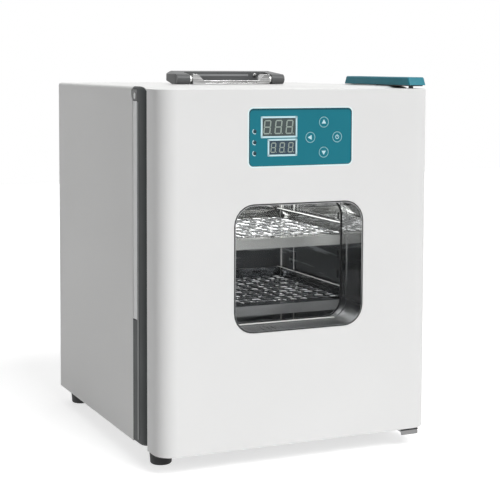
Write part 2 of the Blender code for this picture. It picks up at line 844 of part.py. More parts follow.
def build_switch():
    face = panel_rear_y + seat_gap
    centre = (switch_x, mains_z)
    body = centred_rectangle(centre, switch_width, switch_height, 0)
    bezel = add("switch_bezel", prism(body, "y", panel_rear_y - switch_depth, face + switch_flange / 2),
                black_plastic)
    rim = 2 * switch_rim
    flange = centred_rectangle(centre, switch_width + rim, switch_height + rim, switch_radius)
    join(bezel, prism(flange, "y", face, face + switch_flange), "flange")
    width = switch_width - 2 * switch_wall
    height = switch_height - 2 * switch_wall
    hole = centred_rectangle(centre, width, height, 0)
    pivot_y = face + switch_flange
    cut(bezel, prism(hole, "y", pivot_y - rocker_depth, pivot_y + over), "well")
    reach = width / 2 - key_gap
    outline = arc((0, 0), reach, -rocker_wedge, rocker_wedge, 3)
    outline.append((0, rocker_stand / 2))
    outline += arc((0, 0), reach, 180 - rocker_wedge, 180 + rocker_wedge, 3)
    outline = [(switch_x + x, pivot_y + y) for x, y in outline]
    half = height / 2 - key_gap
    axis = Vector((switch_x, pivot_y, mains_z))
    bm = prism(outline, "z", mains_z - half, mains_z + half)
    bmesh.ops.rotate(bm, verts=bm.verts, cent=axis, matrix=Matrix.Rotation(-rocker_tilt, 3, "Z"))
    add("power_rocker", bm, black_plastic, axis)


def build_fuse_holder():
    face = panel_rear_y + seat_gap
    inner = panel_rear_y - fuse_depth
    profile = [(0, inner), (fuse_radius, inner), (fuse_radius, face), (fuse_flange_radius, face)]
    profile += [(fuse_flange_radius, face + fuse_flange / 2), (fuse_cap_radius, face + fuse_flange)]
    profile.append((0, face + fuse_flange))
    holder = add("fuse_holder", turned(profile, "y", (fuse_x, mains_z), 20), black_plastic)
    slot = centred_rectangle((fuse_x, mains_z), fuse_slot_length, fuse_slot_width, 0)
    cut(holder, prism(slot, "y", face + fuse_flange / 2, face + over), "slot")


def build_power_parts():
    y = panel_inner_y - seat_gap - stand_off
    x, z = power_board_x, case_low + power_board_rise
    half_x = power_board_width / 2
    sheet = block((x - half_x, y - board_sheet, z), (x + half_x, y, z + power_board_height))
    board = add("power_board", sheet, circuit_board)
    inset = stand_off_inset
    posts = []
    for post_x in (x - half_x + inset, x + half_x - inset):
        for post_z in (z + inset, z + power_board_height - inset):
            posts.append(rod((post_x, post_z), stand_off_radius, "y", y - board_sheet / 2, y + stand_off, 10))
    join(board, gather(posts), "posts")
    low = case_low + shell_wall + seat_gap
    back = panel_inner_y - seat_gap
    half = transformer_width / 2
    core = block((transformer_x - half, back - transformer_depth, low),
                 (transformer_x + half, back, low + transformer_height))
    body = add("transformer", core, plated_steel)
    front = back - transformer_depth
    centre_z = low + transformer_height / 2
    for label, sign in (("left_window", -1), ("right_window", 1)):
        centre = (transformer_x + sign * winding_width, centre_z)
        window = centred_rectangle(centre, winding_width, winding_height, 0)
        cut(body, prism(window, "y", front - over, front + winding_depth), label)


# Hinges

cover_low = case_high + cover_slit
cover_high = cover_low + cover_height
cover_left = half_width - cover_width
cover_front_y = front_y + cover_front_inset
cover_rear_y = cover_front_y + cover_length
bracket_high = case_low - bracket_drop
bracket_low = bracket_high - bracket_sheet


def cover_ring(inset, draft):
    low = (cover_left + inset, cover_front_y + inset + draft)
    high = (half_width - inset, cover_rear_y - inset - draft)
    return rounded_rectangle(low, high, (max(cover_radius - inset, cover_inner_radius),) * 4)


def build_hinges():
    rings = [(cover_ring(0, 0), cover_low), (cover_ring(0, cover_draft), cover_high - cover_edge)]
    rings.append((cover_ring(cover_edge, cover_draft), cover_high))
    cover = add("hinge_cover", loft(rings, "z"), teal_plastic)
    ceiling = cover_high - cover_wall
    rings = [(cover_ring(cover_wall, 0), cover_low - over), (cover_ring(cover_wall, 0), cover_low)]
    rings.append((cover_ring(cover_wall, cover_draft), ceiling))
    cut(cover, loft(rings, "z"), "hollow")

    low = case_high + seat_gap
    arm_rear_y = hinge_y - arm_nose + arm_length
    inset = cover_pad_inset
    outline = rounded_rectangle((cover_left + inset, arm_rear_y + arm_pad_gap),
                                (half_width - inset, cover_rear_y - inset), (cover_inner_radius,) * 4)
    add("hinge_cover_pad", prism(outline, "z", low, cover_low - seat_gap), white_paint)

    left = cover_left + cover_wall + seat_gap
    right = half_width - cover_wall - seat_gap
    radii = (arm_nose_radius, arm_nose_radius, arm_rear_radius, arm_rear_radius)
    outline = rounded_rectangle((left, hinge_y - arm_nose), (right, arm_rear_y), radii)
    arm = add("upper_hinge_arm", prism(outline, "z", low, low + arm_sheet), dark_steel)
    pin = rod((hinge_x, hinge_y), hinge_pin_radius, "z", door_high - hinge_pin_reach, low + arm_sheet / 2)
    join(arm, pin, "pin")

    right = hinge_x + bracket_edge
    left = right - bracket_width
    front = front_y + bracket_front_inset
    leg_left = left + bracket_slant
    outline = [(left, front), (right, front), (right, bracket_rear_y), (leg_left, bracket_rear_y)]
    outline.append((leg_left, front + bracket_nose))
    bracket = add("lower_hinge_bracket", prism(outline, "z", bracket_low, bracket_high), plated_steel)
    pad = block((leg_left, frame_front_y + seat_gap, bracket_high - bracket_sheet / 2),
                (right, bracket_rear_y, case_low - seat_gap))
    join(bracket, pad, "pad")
    pin_low = bracket_low + bracket_sheet / 2
    pin = rod((hinge_x, hinge_y), hinge_pin_radius, "z", pin_low, door_low + hinge_pin_reach)
    join(bracket, pin, "pin")


# Door, on its hinge axis

def door_outline(inset, rear_y_at):
    low = (-half_width + inset, front_y + inset)
    high = (half_width - inset, rear_y_at)
    front = door_front_radius - inset
    rear = max(door_rear_radius - inset, 0)
    return rounded_rectangle(low, high, (front, front, rear, rear), 6)


def window_outline(growth):
    return centred_rectangle((window_x, window_z), window_width + 2 * growth, window_height + 2 * growth,
                             window_radius + growth, 6)


def panel_outline(growth):
    return centred_rectangle((panel_x, panel_z), panel_width + 2 * growth, panel_height + 2 * growth,
                             panel_radius + growth, 4)


def bush_holes():
    radius = hinge_pin_radius + pin_gap + bush_wall + seat_gap
    lower = rod((hinge_x, hinge_y), radius, "z", door_low - over, door_low + bush_length + seat_gap)
    upper = rod((hinge_x, hinge_y), radius, "z", door_high - bush_length - seat_gap, door_high + over)
    return gather([lower, upper])


def build_door(door_axis):
    origin = door_axis.location
    shell = add("door_shell", prism(door_outline(0, door_rear_y), "z", door_low, door_high), white_paint,
                origin, door_axis)
    inner_rear = door_rear_y - door_liner_wall
    hollow = prism(door_outline(door_wall, inner_rear), "z", door_low + door_wall, door_high - door_wall)
    cut(shell, hollow, "hollow")
    back_half = half_width - door_return
    back = block((-back_half, inner_rear - door_wall, door_low + door_return),
                 (back_half, door_rear_y + over, door_high - door_return))
    cut(shell, back, "back_opening")
    start, end = front_y - over, front_y + door_wall + over
    cut(shell, prism(window_outline(reveal_wall + seat_gap), "y", start, end), "window_opening")
    cut(shell, prism(panel_outline(seat_gap), "y", start, end), "panel_opening")
    cut(shell, bush_holes(), "bush_holes")

    back_half -= seat_gap
    liner = add("door_liner", block((-back_half, inner_rear, door_low + door_return + seat_gap),
                                    (back_half, door_rear_y, door_high - door_return - seat_gap)),
                white_paint, origin, door_axis)
    cut(liner, prism(window_outline(reveal_wall + seat_gap), "y", inner_rear - over, door_rear_y + over),
        "window_opening")

    space = door_wall + seat_gap
    core = prism(door_outline(space, inner_rear - seat_gap), "z", door_low + space, door_high - space)
    core = add("door_insulation", core, foam, origin, door_axis)
    window = window_outline(reveal_wall + seat_gap)
    cut(core, prism(window, "y", front_y - over, door_rear_y + over), "window_opening")
    cut(core, prism(panel_outline(seat_gap), "y", front_y - over, front_y + panel_bay), "panel_bay")
    cut(core, bush_holes(), "bush_holes")

    outer_radius = hinge_pin_radius + pin_gap + bush_wall
    inner_radius = hinge_pin_radius + pin_gap
    for name, low, high in (("hinge_bush_lower", door_low, door_low + bush_length),
                            ("hinge_bush_upper", door_high - bush_length, door_high)):
        profile = [(inner_radius, low), (outer_radius, low), (outer_radius, high), (inner_radius, high)]
        add(name, turned(profile, "z", (hinge_x, hinge_y), 16), black_plastic, origin, door_axis)

    low_z, high_z = chamber_low - gasket_outset, chamber_high + gasket_outset
    half = chamber_half + gasket_outset
    gasket_front = door_rear_y + seat_gap
    gasket_rear = liner_front_y - seat_gap
    ring = prism(rounded_rectangle((-half, low_z), (half, high_z), (gasket_radius,) * 4), "y",
                 gasket_front, gasket_rear)
    gasket = add("door_gasket", ring, gasket_rubber, origin, door_axis)
    inner = gasket_width
    hole = rounded_rectangle((-half + inner, low_z + inner), (half - inner, high_z - inner),
                             (gasket_inner_radius,) * 4)
    cut(gasket, prism(hole, "y", gasket_front - over, gasket_rear + over), "ring_hole")


def build_window(door_axis):
    origin = door_axis.location
    reveal = add("window_reveal", prism(window_outline(reveal_wall), "y", front_y, door_rear_y), stainless,
                 origin, door_axis)
    cut(reveal, prism(window_outline(0), "y", front_y - over, door_rear_y + over), "way_through")
    outer = front_y + outer_glass_setback
    inner = door_rear_y - inner_glass_setback
    add("window_outer_glass", prism(window_outline(-seat_gap), "y", outer, outer + glass_thickness), glass,
        origin, door_axis)
    add("window_inner_glass", prism(window_outline(-seat_gap), "y", inner - glass_thickness, inner), glass,
        origin, door_axis)


# Control panel, on the door

key_places = {
    "key_up": (key_x, key_rise + key_spread),
    "key_left": (key_x - key_spread, key_rise),
    "key_set": (key_x + key_spread, key_rise),
    "key_down": (key_x, key_rise - key_spread),
}
display_places = {
    "pv_display": (pv_x, pv_rise, pv_width, pv_height),
    "sv_display": (sv_x, sv_rise, sv_width, sv_height),
}


def build_panel(door_axis):
    origin = door_axis.location
    film = prism(panel_outline(0), "y", front_y, front_y + panel_sheet)
    overlay = add("control_overlay", film, overlay_film, origin, door_axis)
    start, end = front_y - over, front_y + panel_sheet + over
    board_y = front_y + board_setback
    holes = []
    for name, (x, rise, width, height) in display_places.items():
        centre = (x, panel_z + rise)
        opening = centred_rectangle(centre, width + 2 * key_gap, height + 2 * key_gap, 0)
        holes.append(prism(opening, "y", start, end))
        face = centred_rectangle(centre, width, height, 0)
        body = prism(face, "y", front_y + display_setback, board_y - seat_gap)
        add(name, body, display_face, origin, door_axis)
    for x, rise in key_places.values():
        holes.append(rod((x, panel_z + rise), key_radius + key_gap, "y", start, end, 20))
    lamps = [(lamp_x, panel_z + lamp_rise + i * lamp_pitch) for i in (-1, 0, 1)]
    for centre in lamps:
        holes.append(rod(centre, lamp_radius + key_gap, "y", start, end, 12))
    cut(overlay, gather(holes), "openings")

    bar_front = front_y + panel_sheet + seat_gap
    bar = centred_rectangle(lamps[1], lamp_bar_width, 2 * (lamp_pitch + lamp_bar_width), lamp_bar_radius, 2)
    body = prism(bar, "y", bar_front, bar_front + panel_sheet)
    strip = add("indicator_strip", body, lamp_lens, origin, door_axis)
    bumps = [rod(centre, lamp_radius, "y", front_y, bar_front + panel_sheet / 2, 12) for centre in lamps]
    join(strip, gather(bumps), "lenses")

    half_x = panel_width / 2 - board_margin
    half_z = panel_height / 2 - board_margin
    add("control_board", block((panel_x - half_x, board_y, panel_z - half_z),
                               (panel_x + half_x, board_y + board_sheet, panel_z + half_z)),
        circuit_board, origin, door_axis)

    skirt_front = front_y + panel_sheet + key_gap
    skirt_rear = skirt_front + key_skirt
    stem = board_y - key_travel - key_gap
    for name, (x, rise) in key_places.items():
        centre = (x, panel_z + rise)
        profile = [(0, front_y), (key_radius, front_y), (key_radius, skirt_front)]
        profile += [(key_radius + key_skirt, skirt_front), (key_radius + key_skirt, skirt_rear)]
        profile += [(key_stem_radius, skirt_rear), (key_stem_radius, stem), (0, stem)]
        add(name, turned(profile, "y", centre, 20), overlay_film, (x, front_y, centre[1]), door_axis)


# Carry handle, folding about its two pins

def handle_plan():
    half = handle_width / 2
    inner = half - handle_arm_width
    rear = handle_front_y + handle_depth
    grip_front = rear - handle_grip_depth
    outer_radius, inner_radius = handle_outer_radius, handle_inner_radius
    points = [(-half, handle_front_y), (-inner, handle_front_y)]
    points += arc((-inner + inner_radius, grip_front - inner_radius), inner_radius, 180, 90, 3)
    points += arc((inner - inner_radius, grip_front - inner_radius), inner_radius, 90, 0, 3)
    points += [(inner, handle_front_y), (half, handle_front_y)]
    points += arc((half - outer_radius, rear - outer_radius), outer_radius, 0, 90, 5)
    points += arc((-half + outer_radius, rear - outer_radius), outer_radius, 90, 180, 5)
    return points


def handle_side():
    """Seen from the right: a round nose on the pin, a flat foot, and a rise to the grip at the back."""
    radius = handle_arm_height / 2
    rear = handle_front_y + handle_depth
    low = handle_pin_z - radius
    lift = low + handle_rise
    top = lift + handle_grip_height
    edge = handle_edge
    points = arc((handle_pin_y, handle_pin_z), radius, 90, 270, 8)
    points.append((handle_front_y + handle_flat, low))
    points += arc((rear - edge, lift + edge), edge, 285, 360, 3)
    points += arc((rear - edge, top - edge), edge, 0, 96, 4)
    return points


def handle_front():
    """Seen from the front: the top slopes down towards both ends."""
    half = handle_width / 2
    low = case_high - over
    top = handle_pin_z - handle_arm_height / 2 + handle_rise + handle_grip_height
    slope_x = half - handle_end_slope
    return [(-half, low), (half, low), (half, top - handle_end_drop), (slope_x, top), (slope_x, top + over),
            (-slope_x, top + over), (-slope_x, top), (-half, top - handle_end_drop)]


def build_handle():
    axis = Vector((0, handle_pin_y, handle_pin_z))
    ceiling = handle_pin_z + handle_depth
    handle = add("carry_handle", prism(handle_plan(), "z", case_high - over, ceiling), handle_plastic, axis)
    combine(handle, prism(handle_side(), "x", -case_width, case_width), "INTERSECT", "side_view")
    combine(handle, prism(handle_front(), "y", -total_depth, total_depth), "INTERSECT", "front_view")
    inner = handle_width / 2 - handle_arm_width
    reach = handle_pin_reach + pin_gap
    centre = (handle_pin_y, handle_pin_z)
    holes = [rod(centre, handle_pin_radius + pin_gap, "x", -inner - reach, -inner + over),
             rod(centre, handle_pin_radius + pin_gap, "x", inner - over, inner + reach)]
    cut(handle, gather(holes), "pin_holes")

    low = case_high + seat_gap
    ear = inner - collar_length - 2 * seat_gap
    outline = [(-ear, low), (ear, low), (ear, low + ear_height), (ear - ear_top_width, low + ear_height)]
    outline += [(base_flat / 2, low + base_bar), (-base_flat / 2, low + base_bar)]
    outline += [(-ear + ear_top_width, low + ear_height), (-ear, low + ear_height)]
    base_front = handle_front_y + seat_gap
    base = add("handle_base", prism(outline, "y", base_front, base_front + base_depth), plated_steel)
    groove_half = base_flat / 2 - base_groove_end
    cut(base, block((-groove_half, base_front - over, low + base_groove_low),
                    (groove_half, base_front + base_groove_depth, low + base_groove_high)), "groove")
    reach = ear_top_width + handle_pin_embed
    holes = [rod(centre, handle_pin_radius + pin_gap, "x", -ear - over, -ear + reach),
             rod(centre, handle_pin_radius + pin_gap, "x", ear - reach, ear + over)]
    cut(base, gather(holes), "pin_holes")

    start, end = ear - reach + pin_gap, inner + handle_pin_reach
    collar_start, collar_end = ear + seat_gap, inner - seat_gap
    profile = [(0, start), (handle_pin_radius, start), (handle_pin_radius, collar_start)]
    profile += [(collar_radius, collar_start), (collar_radius, collar_end), (handle_pin_radius, collar_end)]
    profile += [(handle_pin_radius, end), (0, end)]
    for name, sign in (("handle_pin_left", -1), ("handle_pin_right", 1)):
        body = turned([(radius, sign * along) for radius, along in profile], "x", centre, 16)
        add(name, body, plated_steel)


build_outer_shell()
build_base_pan()
build_rear_panel()
build_front_frame()
build_grip()
build_feet()
build_chamber()
build_sensors()
build_uprights()
build_shelf("upper", upper_shelf_height)
build_shelf("lower", lower_shelf_height)
build_chamber_floor()
build_inlet()
build_switch()
build_fuse_holder()
build_power_parts()
build_hinges()
door_axis = pivot("door_axis", (hinge_x, hinge_y, door_low))
build_door(door_axis)
build_window(door_axis)
build_panel(door_axis)
build_handle()
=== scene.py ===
# Looks of the portable incubator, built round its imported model.
# Metres, +Z up, the door faces -Y.

import json
import math

import bmesh
import bpy
from mathutils import Matrix, Vector


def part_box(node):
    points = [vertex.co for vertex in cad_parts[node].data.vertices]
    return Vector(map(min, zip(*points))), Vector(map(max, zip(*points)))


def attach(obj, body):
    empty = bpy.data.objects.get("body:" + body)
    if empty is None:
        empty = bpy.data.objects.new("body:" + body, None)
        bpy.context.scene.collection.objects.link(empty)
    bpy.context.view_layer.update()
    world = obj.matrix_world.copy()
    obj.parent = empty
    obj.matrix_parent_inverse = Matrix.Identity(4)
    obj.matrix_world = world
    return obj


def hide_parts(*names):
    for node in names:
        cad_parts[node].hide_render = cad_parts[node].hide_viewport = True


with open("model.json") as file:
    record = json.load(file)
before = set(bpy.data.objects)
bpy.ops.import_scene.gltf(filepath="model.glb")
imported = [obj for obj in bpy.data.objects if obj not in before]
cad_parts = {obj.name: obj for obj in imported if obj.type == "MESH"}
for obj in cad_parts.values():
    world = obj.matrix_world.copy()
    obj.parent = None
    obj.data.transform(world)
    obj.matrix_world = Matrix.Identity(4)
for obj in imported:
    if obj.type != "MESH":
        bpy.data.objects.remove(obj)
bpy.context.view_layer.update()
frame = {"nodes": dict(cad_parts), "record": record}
nodes = frame["nodes"]
mm = 0.001

# Camera, solved from the straight edges of the door, case, window and panel
cameraSettings = {
    "position": (-0.5921, -1.3663, 0.3980),
    "yaw": 25.291,
    "pitch": 4.144,
    "roll": 0.2915,
    "lens": 97.31,
    "shiftX": -0.0562,
    "shiftY": -0.1740,
}


def buildCamera(s):
    yaw, pitch, roll = (math.radians(s[key]) for key in ("yaw", "pitch", "roll"))
    level = Vector((math.cos(yaw), -math.sin(yaw), 0))
    ahead = Vector((math.sin(yaw) * math.cos(pitch), math.cos(yaw) * math.cos(pitch), -math.sin(pitch)))
    above = level.cross(ahead)
    right = math.cos(roll) * level + math.sin(roll) * above
    up = math.cos(roll) * above - math.sin(roll) * level
    data = bpy.data.cameras.new("camera")
    data.lens = s["lens"]
    data.sensor_width = 36
    data.shift_x = s["shiftX"]
    data.shift_y = s["shiftY"]
    camera = bpy.data.objects.new("camera", data)
    bpy.context.scene.collection.objects.link(camera)
    turn = Matrix((right, up, -ahead)).transposed().to_4x4()
    camera.matrix_world = Matrix.Translation(s["position"]) @ turn
    bpy.context.scene.camera = camera


buildCamera(cameraSettings)
bpy.context.scene.view_settings.view_transform = "Standard"
print("camera placed")


# Shader maths

class Signal:
    def __init__(self, graph, socket):
        self.graph = graph
        self.socket = socket

    def __add__(self, other):
        return self.graph.sum("ADD", self, other)

    def __mul__(self, other):
        return self.graph.sum("MULTIPLY", self, other)


class Graph:
    def __init__(self, holder, output="Material Output"):
        holder.use_nodes = True
        self.holder = holder
        self.tree = holder.node_tree
        self.output = self.tree.nodes[output]

    def node(self, kind, settings, sockets, output=0):
        made = self.tree.nodes.new("ShaderNode" + kind)
        for key, value in settings.items():
            setattr(made, key, value)
        for key, value in sockets.items():
            self.feed(made.inputs[key], value)
        return Signal(self, made.outputs[output])

    def own(self, name, **values):
        made = self.tree.nodes[name]
        for key, value in values.items():
            self.feed(made.inputs[key.replace("_", " ")], value)
        return Signal(self, made.outputs[0])

    def feed(self, socket, value):
        if isinstance(value, Signal):
            self.tree.links.new(value.socket, socket)
        else:
            socket.default_value = value

    def sum(self, operation, a, b):
        return self.node("Math", {"operation": operation}, {0: a, 1: b})

    def clamped(self, value):
        return self.node("Clamp", {}, {0: value})

    def coordinates(self, scale=(1, 1, 1)):
        place = self.node("TexCoord", {}, {}, "Object")
        return self.node("Mapping", {}, {"Vector": place, "Scale": scale})

    def noise(self, size, detail=3, stretch=(1, 1, 1)):
        return self.node("TexNoise", {}, {"Vector": self.coordinates(stretch), "Scale": 1 / size, "Detail": detail})

    def ramp(self, value, low, high, start=0.3, end=0.7):
        return self.node("MapRange", {"clamp": True}, {"Value": value, "From Min": start, "From Max": end,
                                                        "To Min": low, "To Max": high})

    def blendColours(self, factor, a, b):
        made = self.tree.nodes.new("ShaderNodeMix")
        made.data_type = "RGBA"
        for key, value in ((0, factor), (6, a), (7, b)):
            self.feed(made.inputs[key], value)
        return Signal(self, made.outputs[2])

    def bump(self, height, distance, strength=1.0):
        return self.node("Bump", {}, {"Height": height, "Distance": distance, "Strength": strength})

    def rayKinds(self):
        path = self.tree.nodes.new("ShaderNodeLightPath")
        camera, glossy, through = (Signal(self, path.outputs[f"Is {kind} Ray"])
                                   for kind in ("Camera", "Glossy", "Transmission"))
        return camera, self.clamped(glossy + through)

    def emission(self, strength):
        return self.node("Emission", {}, {"Strength": strength})

    def mixShaders(self, factor, first, second):
        return self.node("MixShader", {}, {0: factor, 1: first, 2: second})

    def show(self, surface):
        self.feed(self.output.inputs["Surface"], surface)

    def finish(self, **values):
        self.own("Principled BSDF", **values)
        return self.holder


def newGraph(name):
    return Graph(bpy.data.materials.new(name))


def solid(colour):
    return (*colour, 1)


def scaled(colour, share):
    return solid([c * share for c in colour])


patternSizes = {
    "peel": 1.6 * mm,
    "paintCloud": 90 * mm,
    "mouldingCloud": 40 * mm,
    "steelCloud": 60 * mm,
    "sheet": 26 * mm,
    "punched": 11 * mm,
}


def paint(name, colour, tone=0.02, roughness=0.34):
    g = newGraph(name)
    peel = g.noise(patternSizes["peel"], 2)
    cloud = g.noise(patternSizes["paintCloud"])
    shade = g.blendColours(g.ramp(cloud, 0, 1), scaled(colour, 1 - tone), solid(colour))
    rough = g.ramp(cloud, roughness - 0.03, roughness + 0.04)
    return g.finish(Base_Color=shade, Roughness=rough, Normal=g.bump(peel, 0.012 * mm, 0.5))


def moulding(name, colour, roughness, grain=0.5 * mm, depth=0.03 * mm, tone=0.08, shine=0.5):
    g = newGraph(name)
    fine = g.noise(grain, 2)
    cloud = g.noise(patternSizes["mouldingCloud"])
    shade = g.blendColours(g.ramp(cloud, 0, 1), scaled(colour, 1 - tone), solid(colour))
    rough = g.ramp(cloud, roughness - 0.05, roughness + 0.05)
    return g.finish(Base_Color=shade, Roughness=rough, Normal=g.bump(fine, depth, 0.6), Specular_IOR_Level=shine)


# Steel with fine lines and a gentle wave. In most steels the lines are grain; made large and strongly toned, as in
# the liner, shelves and handle base, they are painted glints and reflection streaks. With dusk, painted shade makes
# the steel darker and duller below a height, where the chamber and window lie in shade, with painted glints along the
# lines there.

def rolledSteel(name, colour, roughness, stretch, tone=0.06, wave=0.05 * mm, grain=0.5 * mm, ripple=(1, 1, 1),
                dusk=None):
    g = newGraph(name)
    grainAndGlintLines = g.noise(grain, 2, stretch)
    cloud = g.noise(patternSizes["steelCloud"])
    sheet = g.noise(patternSizes["sheet"], 1, ripple)
    shade = g.blendColours(g.ramp(grainAndGlintLines, 0, 1), scaled(colour, 1 - tone), solid(colour))
    rough = g.ramp(cloud, roughness * 0.75, roughness * 1.3) + g.ramp(grainAndGlintLines, -roughness * 0.15, roughness * 0.15)
    if dusk:
        level = g.node("SeparateXYZ", {}, {0: g.coordinates()}, "Z")
        low, high = dusk["low"], dusk["high"]
        # Painted shade below the height, with painted glints along the lines
        shadeAndGlints = g.blendColours(g.ramp(grainAndGlintLines, 0, 1, 0.55, 0.68), solid(dusk["colour"]),
                              scaled(dusk["colour"], dusk["glint"]))
        shade = g.blendColours(g.ramp(level, 0, 1, low, high), shadeAndGlints, shade)
        rough = rough + g.ramp(level, dusk["blur"], 0, low, high)
    return g.finish(Base_Color=shade, Roughness=rough, Metallic=1.0, Normal=g.bump(sheet, wave))


# Painted glints: the hole edges are dark with sparse bright patches
def punchedEdgeGlints(name, dark, bright):
    g = newGraph(name)
    patches = g.noise(patternSizes["punched"], 1)
    shade = g.blendColours(g.ramp(patches, 0, 1, 0.5, 0.58), solid(dark), solid(bright))
    return g.finish(Base_Color=shade, Roughness=0.3)


def clearGlass(name, tint, gloss):
    g = newGraph(name)
    clear = g.node("BsdfTransparent", {}, {"Color": solid(tint)})
    mirror = g.own("Principled BSDF", Base_Color=solid((0.9, 0.92, 0.92)), Roughness=0.03, Metallic=1.0)
    fresnel = g.node("Fresnel", {}, {"IOR": 1.5})
    g.show(g.mixShaders(fresnel * gloss, clear, mirror))
    return g.holder


# Painted shade in the lower chamber and lower reveal; glint scales the painted glints along the lines
linerDusk = {"low": 0.19, "high": 0.235, "colour": (0.20, 0.208, 0.213), "blur": 0.26, "glint": 3.6}
revealDusk = {"low": 0.15, "high": 0.21, "colour": (0.15, 0.153, 0.156), "blur": 0.24, "glint": 1.4}

finishes = {
    "casePaint": paint("case_paint", (0.80, 0.80, 0.79)),
    "doorPaint": paint("door_paint", (0.83, 0.83, 0.825)),
    "darkMoulding": moulding("dark_moulding", (0.040, 0.046, 0.047), 0.5, shine=0.3),
    "greyTrim": moulding("grey_trim", (0.97, 0.98, 0.98), 0.35, depth=0.01 * mm),
    "footRubber": moulding("foot_rubber", (0.018, 0.018, 0.019), 0.6, depth=0.05 * mm),
    "sealRubber": moulding("seal_rubber", (0.04, 0.042, 0.044), 0.6),
    # Liner: coarse horizontal lines of painted glints, and painted shade below a height
    "linerSteelShadeAndGlints": rolledSteel("liner_steel_painted_shade_and_glints", (0.62, 0.625, 0.62), 0.03, (0.08, 0.08, 1), 0.25, 0.03 * mm, 6 * mm,
                              (0.25, 0.25, 1.6), linerDusk),
    # Upper shelf: coarse stretched lines of strong tone, painted glint dashes
    "shelfSteelGlints": rolledSteel("shelf_steel_painted_glints", (0.60, 0.61, 0.59), 0.10, (0.35, 1, 1), 0.65, 0.03 * mm, 7 * mm),
    # Lower shelf: a darker copy of the shelf steel as painted shade, with painted glint dashes
    "lowShelfSteelShaded": rolledSteel("low_shelf_steel_painted_shade", (0.32, 0.335, 0.355), 0.12, (0.35, 1, 1), 0.8, 0.03 * mm, 7 * mm),
    "punchedEdgeGlints": punchedEdgeGlints("punched_edge_painted_glints", (0.10, 0.105, 0.11), (0.88, 0.89, 0.90)),
    "lipSteel": rolledSteel("lip_steel", (0.43, 0.44, 0.43), 0.36, (0.03, 1, 1), wave=0.02 * mm),
    "lowLipSteel": rolledSteel("low_lip_steel", (0.44, 0.45, 0.455), 0.36, (0.03, 1, 1), wave=0.02 * mm),
    # Rails: dark steel as painted shade below their pale top hems
    "railSteelShaded": rolledSteel("rail_steel_painted_shade", (0.20, 0.205, 0.205), 0.12, (1, 0.03, 1)),
    # Reveal: painted shade below a height, with faint painted glints along the lines
    "revealSteelShaded": rolledSteel("reveal_steel_painted_shade", (0.46, 0.465, 0.465), 0.05, (1, 0.03, 1), wave=0.015 * mm,
                               dusk=revealDusk),
    "plate": rolledSteel("bright_plate", (0.66, 0.66, 0.65), 0.16, (0.1, 1, 1), wave=0.02 * mm),
    # Handle base: coarse lines of strong tone, painted reflection streaks
    "handleSteelReflections": rolledSteel("handle_steel_painted_reflections", (0.62, 0.62, 0.615), 0.16, (0.05, 1, 1), 0.7, 0.012 * mm, 1.9 * mm),
    "bracketSteel": rolledSteel("bracket_steel", (0.34, 0.34, 0.34), 0.32, (0.05, 1, 1)),
    # Pale edge pieces that are painted highlights
    "brightEdgeHighlight": moulding("bright_edge_painted_highlight", (0.74, 0.74, 0.72), 0.25),
    "capGrey": moulding("cap_grey", (0.16, 0.165, 0.165), 0.4),
    "frameBead": moulding("frame_bead", (0.13, 0.14, 0.142), 0.4),
    # Near-black steel as painted shade: the upper hinge arm in the gap under the cover, and the strip on the bracket
    "darkSteelShade": moulding("dark_steel", (0.03, 0.031, 0.032), 0.4),
    "tealPlastic": moulding("teal_plastic", (0.012, 0.200, 0.262), 0.4, tone=0.05, shine=0.25),
    "overlayFilm": moulding("overlay_film", (0.012, 0.190, 0.250), 0.42, grain=0.3 * mm, depth=0.01 * mm, tone=0.03,
                            shine=0.2),
    # Darker film colour for the panel border, painted shade
    "filmEdgeShade": moulding("film_edge_painted_shade", (0.010, 0.075, 0.098), 0.42, grain=0.3 * mm, depth=0.01 * mm, tone=0.03,
                         shine=0.2),
    "displayFace": moulding("display_face", (0.056, 0.078, 0.078), 0.2, depth=0.002 * mm),
    "displayFaceBlue": moulding("display_face_blue", (0.030, 0.062, 0.092), 0.2, depth=0.002 * mm),
    "segment": moulding("segment", (0.33, 0.40, 0.36), 0.4, depth=0.002 * mm),
    "lampLens": moulding("lamp_lens", (0.012, 0.045, 0.06), 0.3, shine=0.3),
    "boardGreen": moulding("board_green", (0.02, 0.12, 0.05), 0.45),
    # Lighter grey for the grip strip, a painted highlight
    "foam": moulding("foam", (0.75, 0.72, 0.6), 0.9, grain=2 * mm, depth=0.4 * mm),
    "handlePlastic": moulding("handle_plastic", (0.10, 0.103, 0.105), 0.42, shine=0.3),
    "handleGripHighlight": moulding("handle_grip_highlight", (0.24, 0.245, 0.25), 0.35),
    "blackPlastic": moulding("black_plastic", (0.02, 0.02, 0.021), 0.42),
    "ceramic": moulding("ceramic", (0.7, 0.68, 0.6), 0.55),
    "glass": clearGlass("clear_glass", (0.985, 0.985, 0.985), 0.06),
    "palePrint": moulding("pale_print", (0.62, 0.86, 0.92), 0.4, depth=0.002 * mm),
    "outlinePrint": moulding("outline_print", (0.84, 0.99, 1.0), 0.4, depth=0.002 * mm),
    "paleLine": moulding("pale_line", (0.28, 0.58, 0.64), 0.4, depth=0.002 * mm),
}
print("materials made")


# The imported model's own pieces: each is merged, softened at its edges by so many millimetres and
# given its finish. With 0 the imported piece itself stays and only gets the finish.

record = frame["record"]
bodyOf = {node: body for body, members in record["behaviour"]["bodies"].items() for node in members}

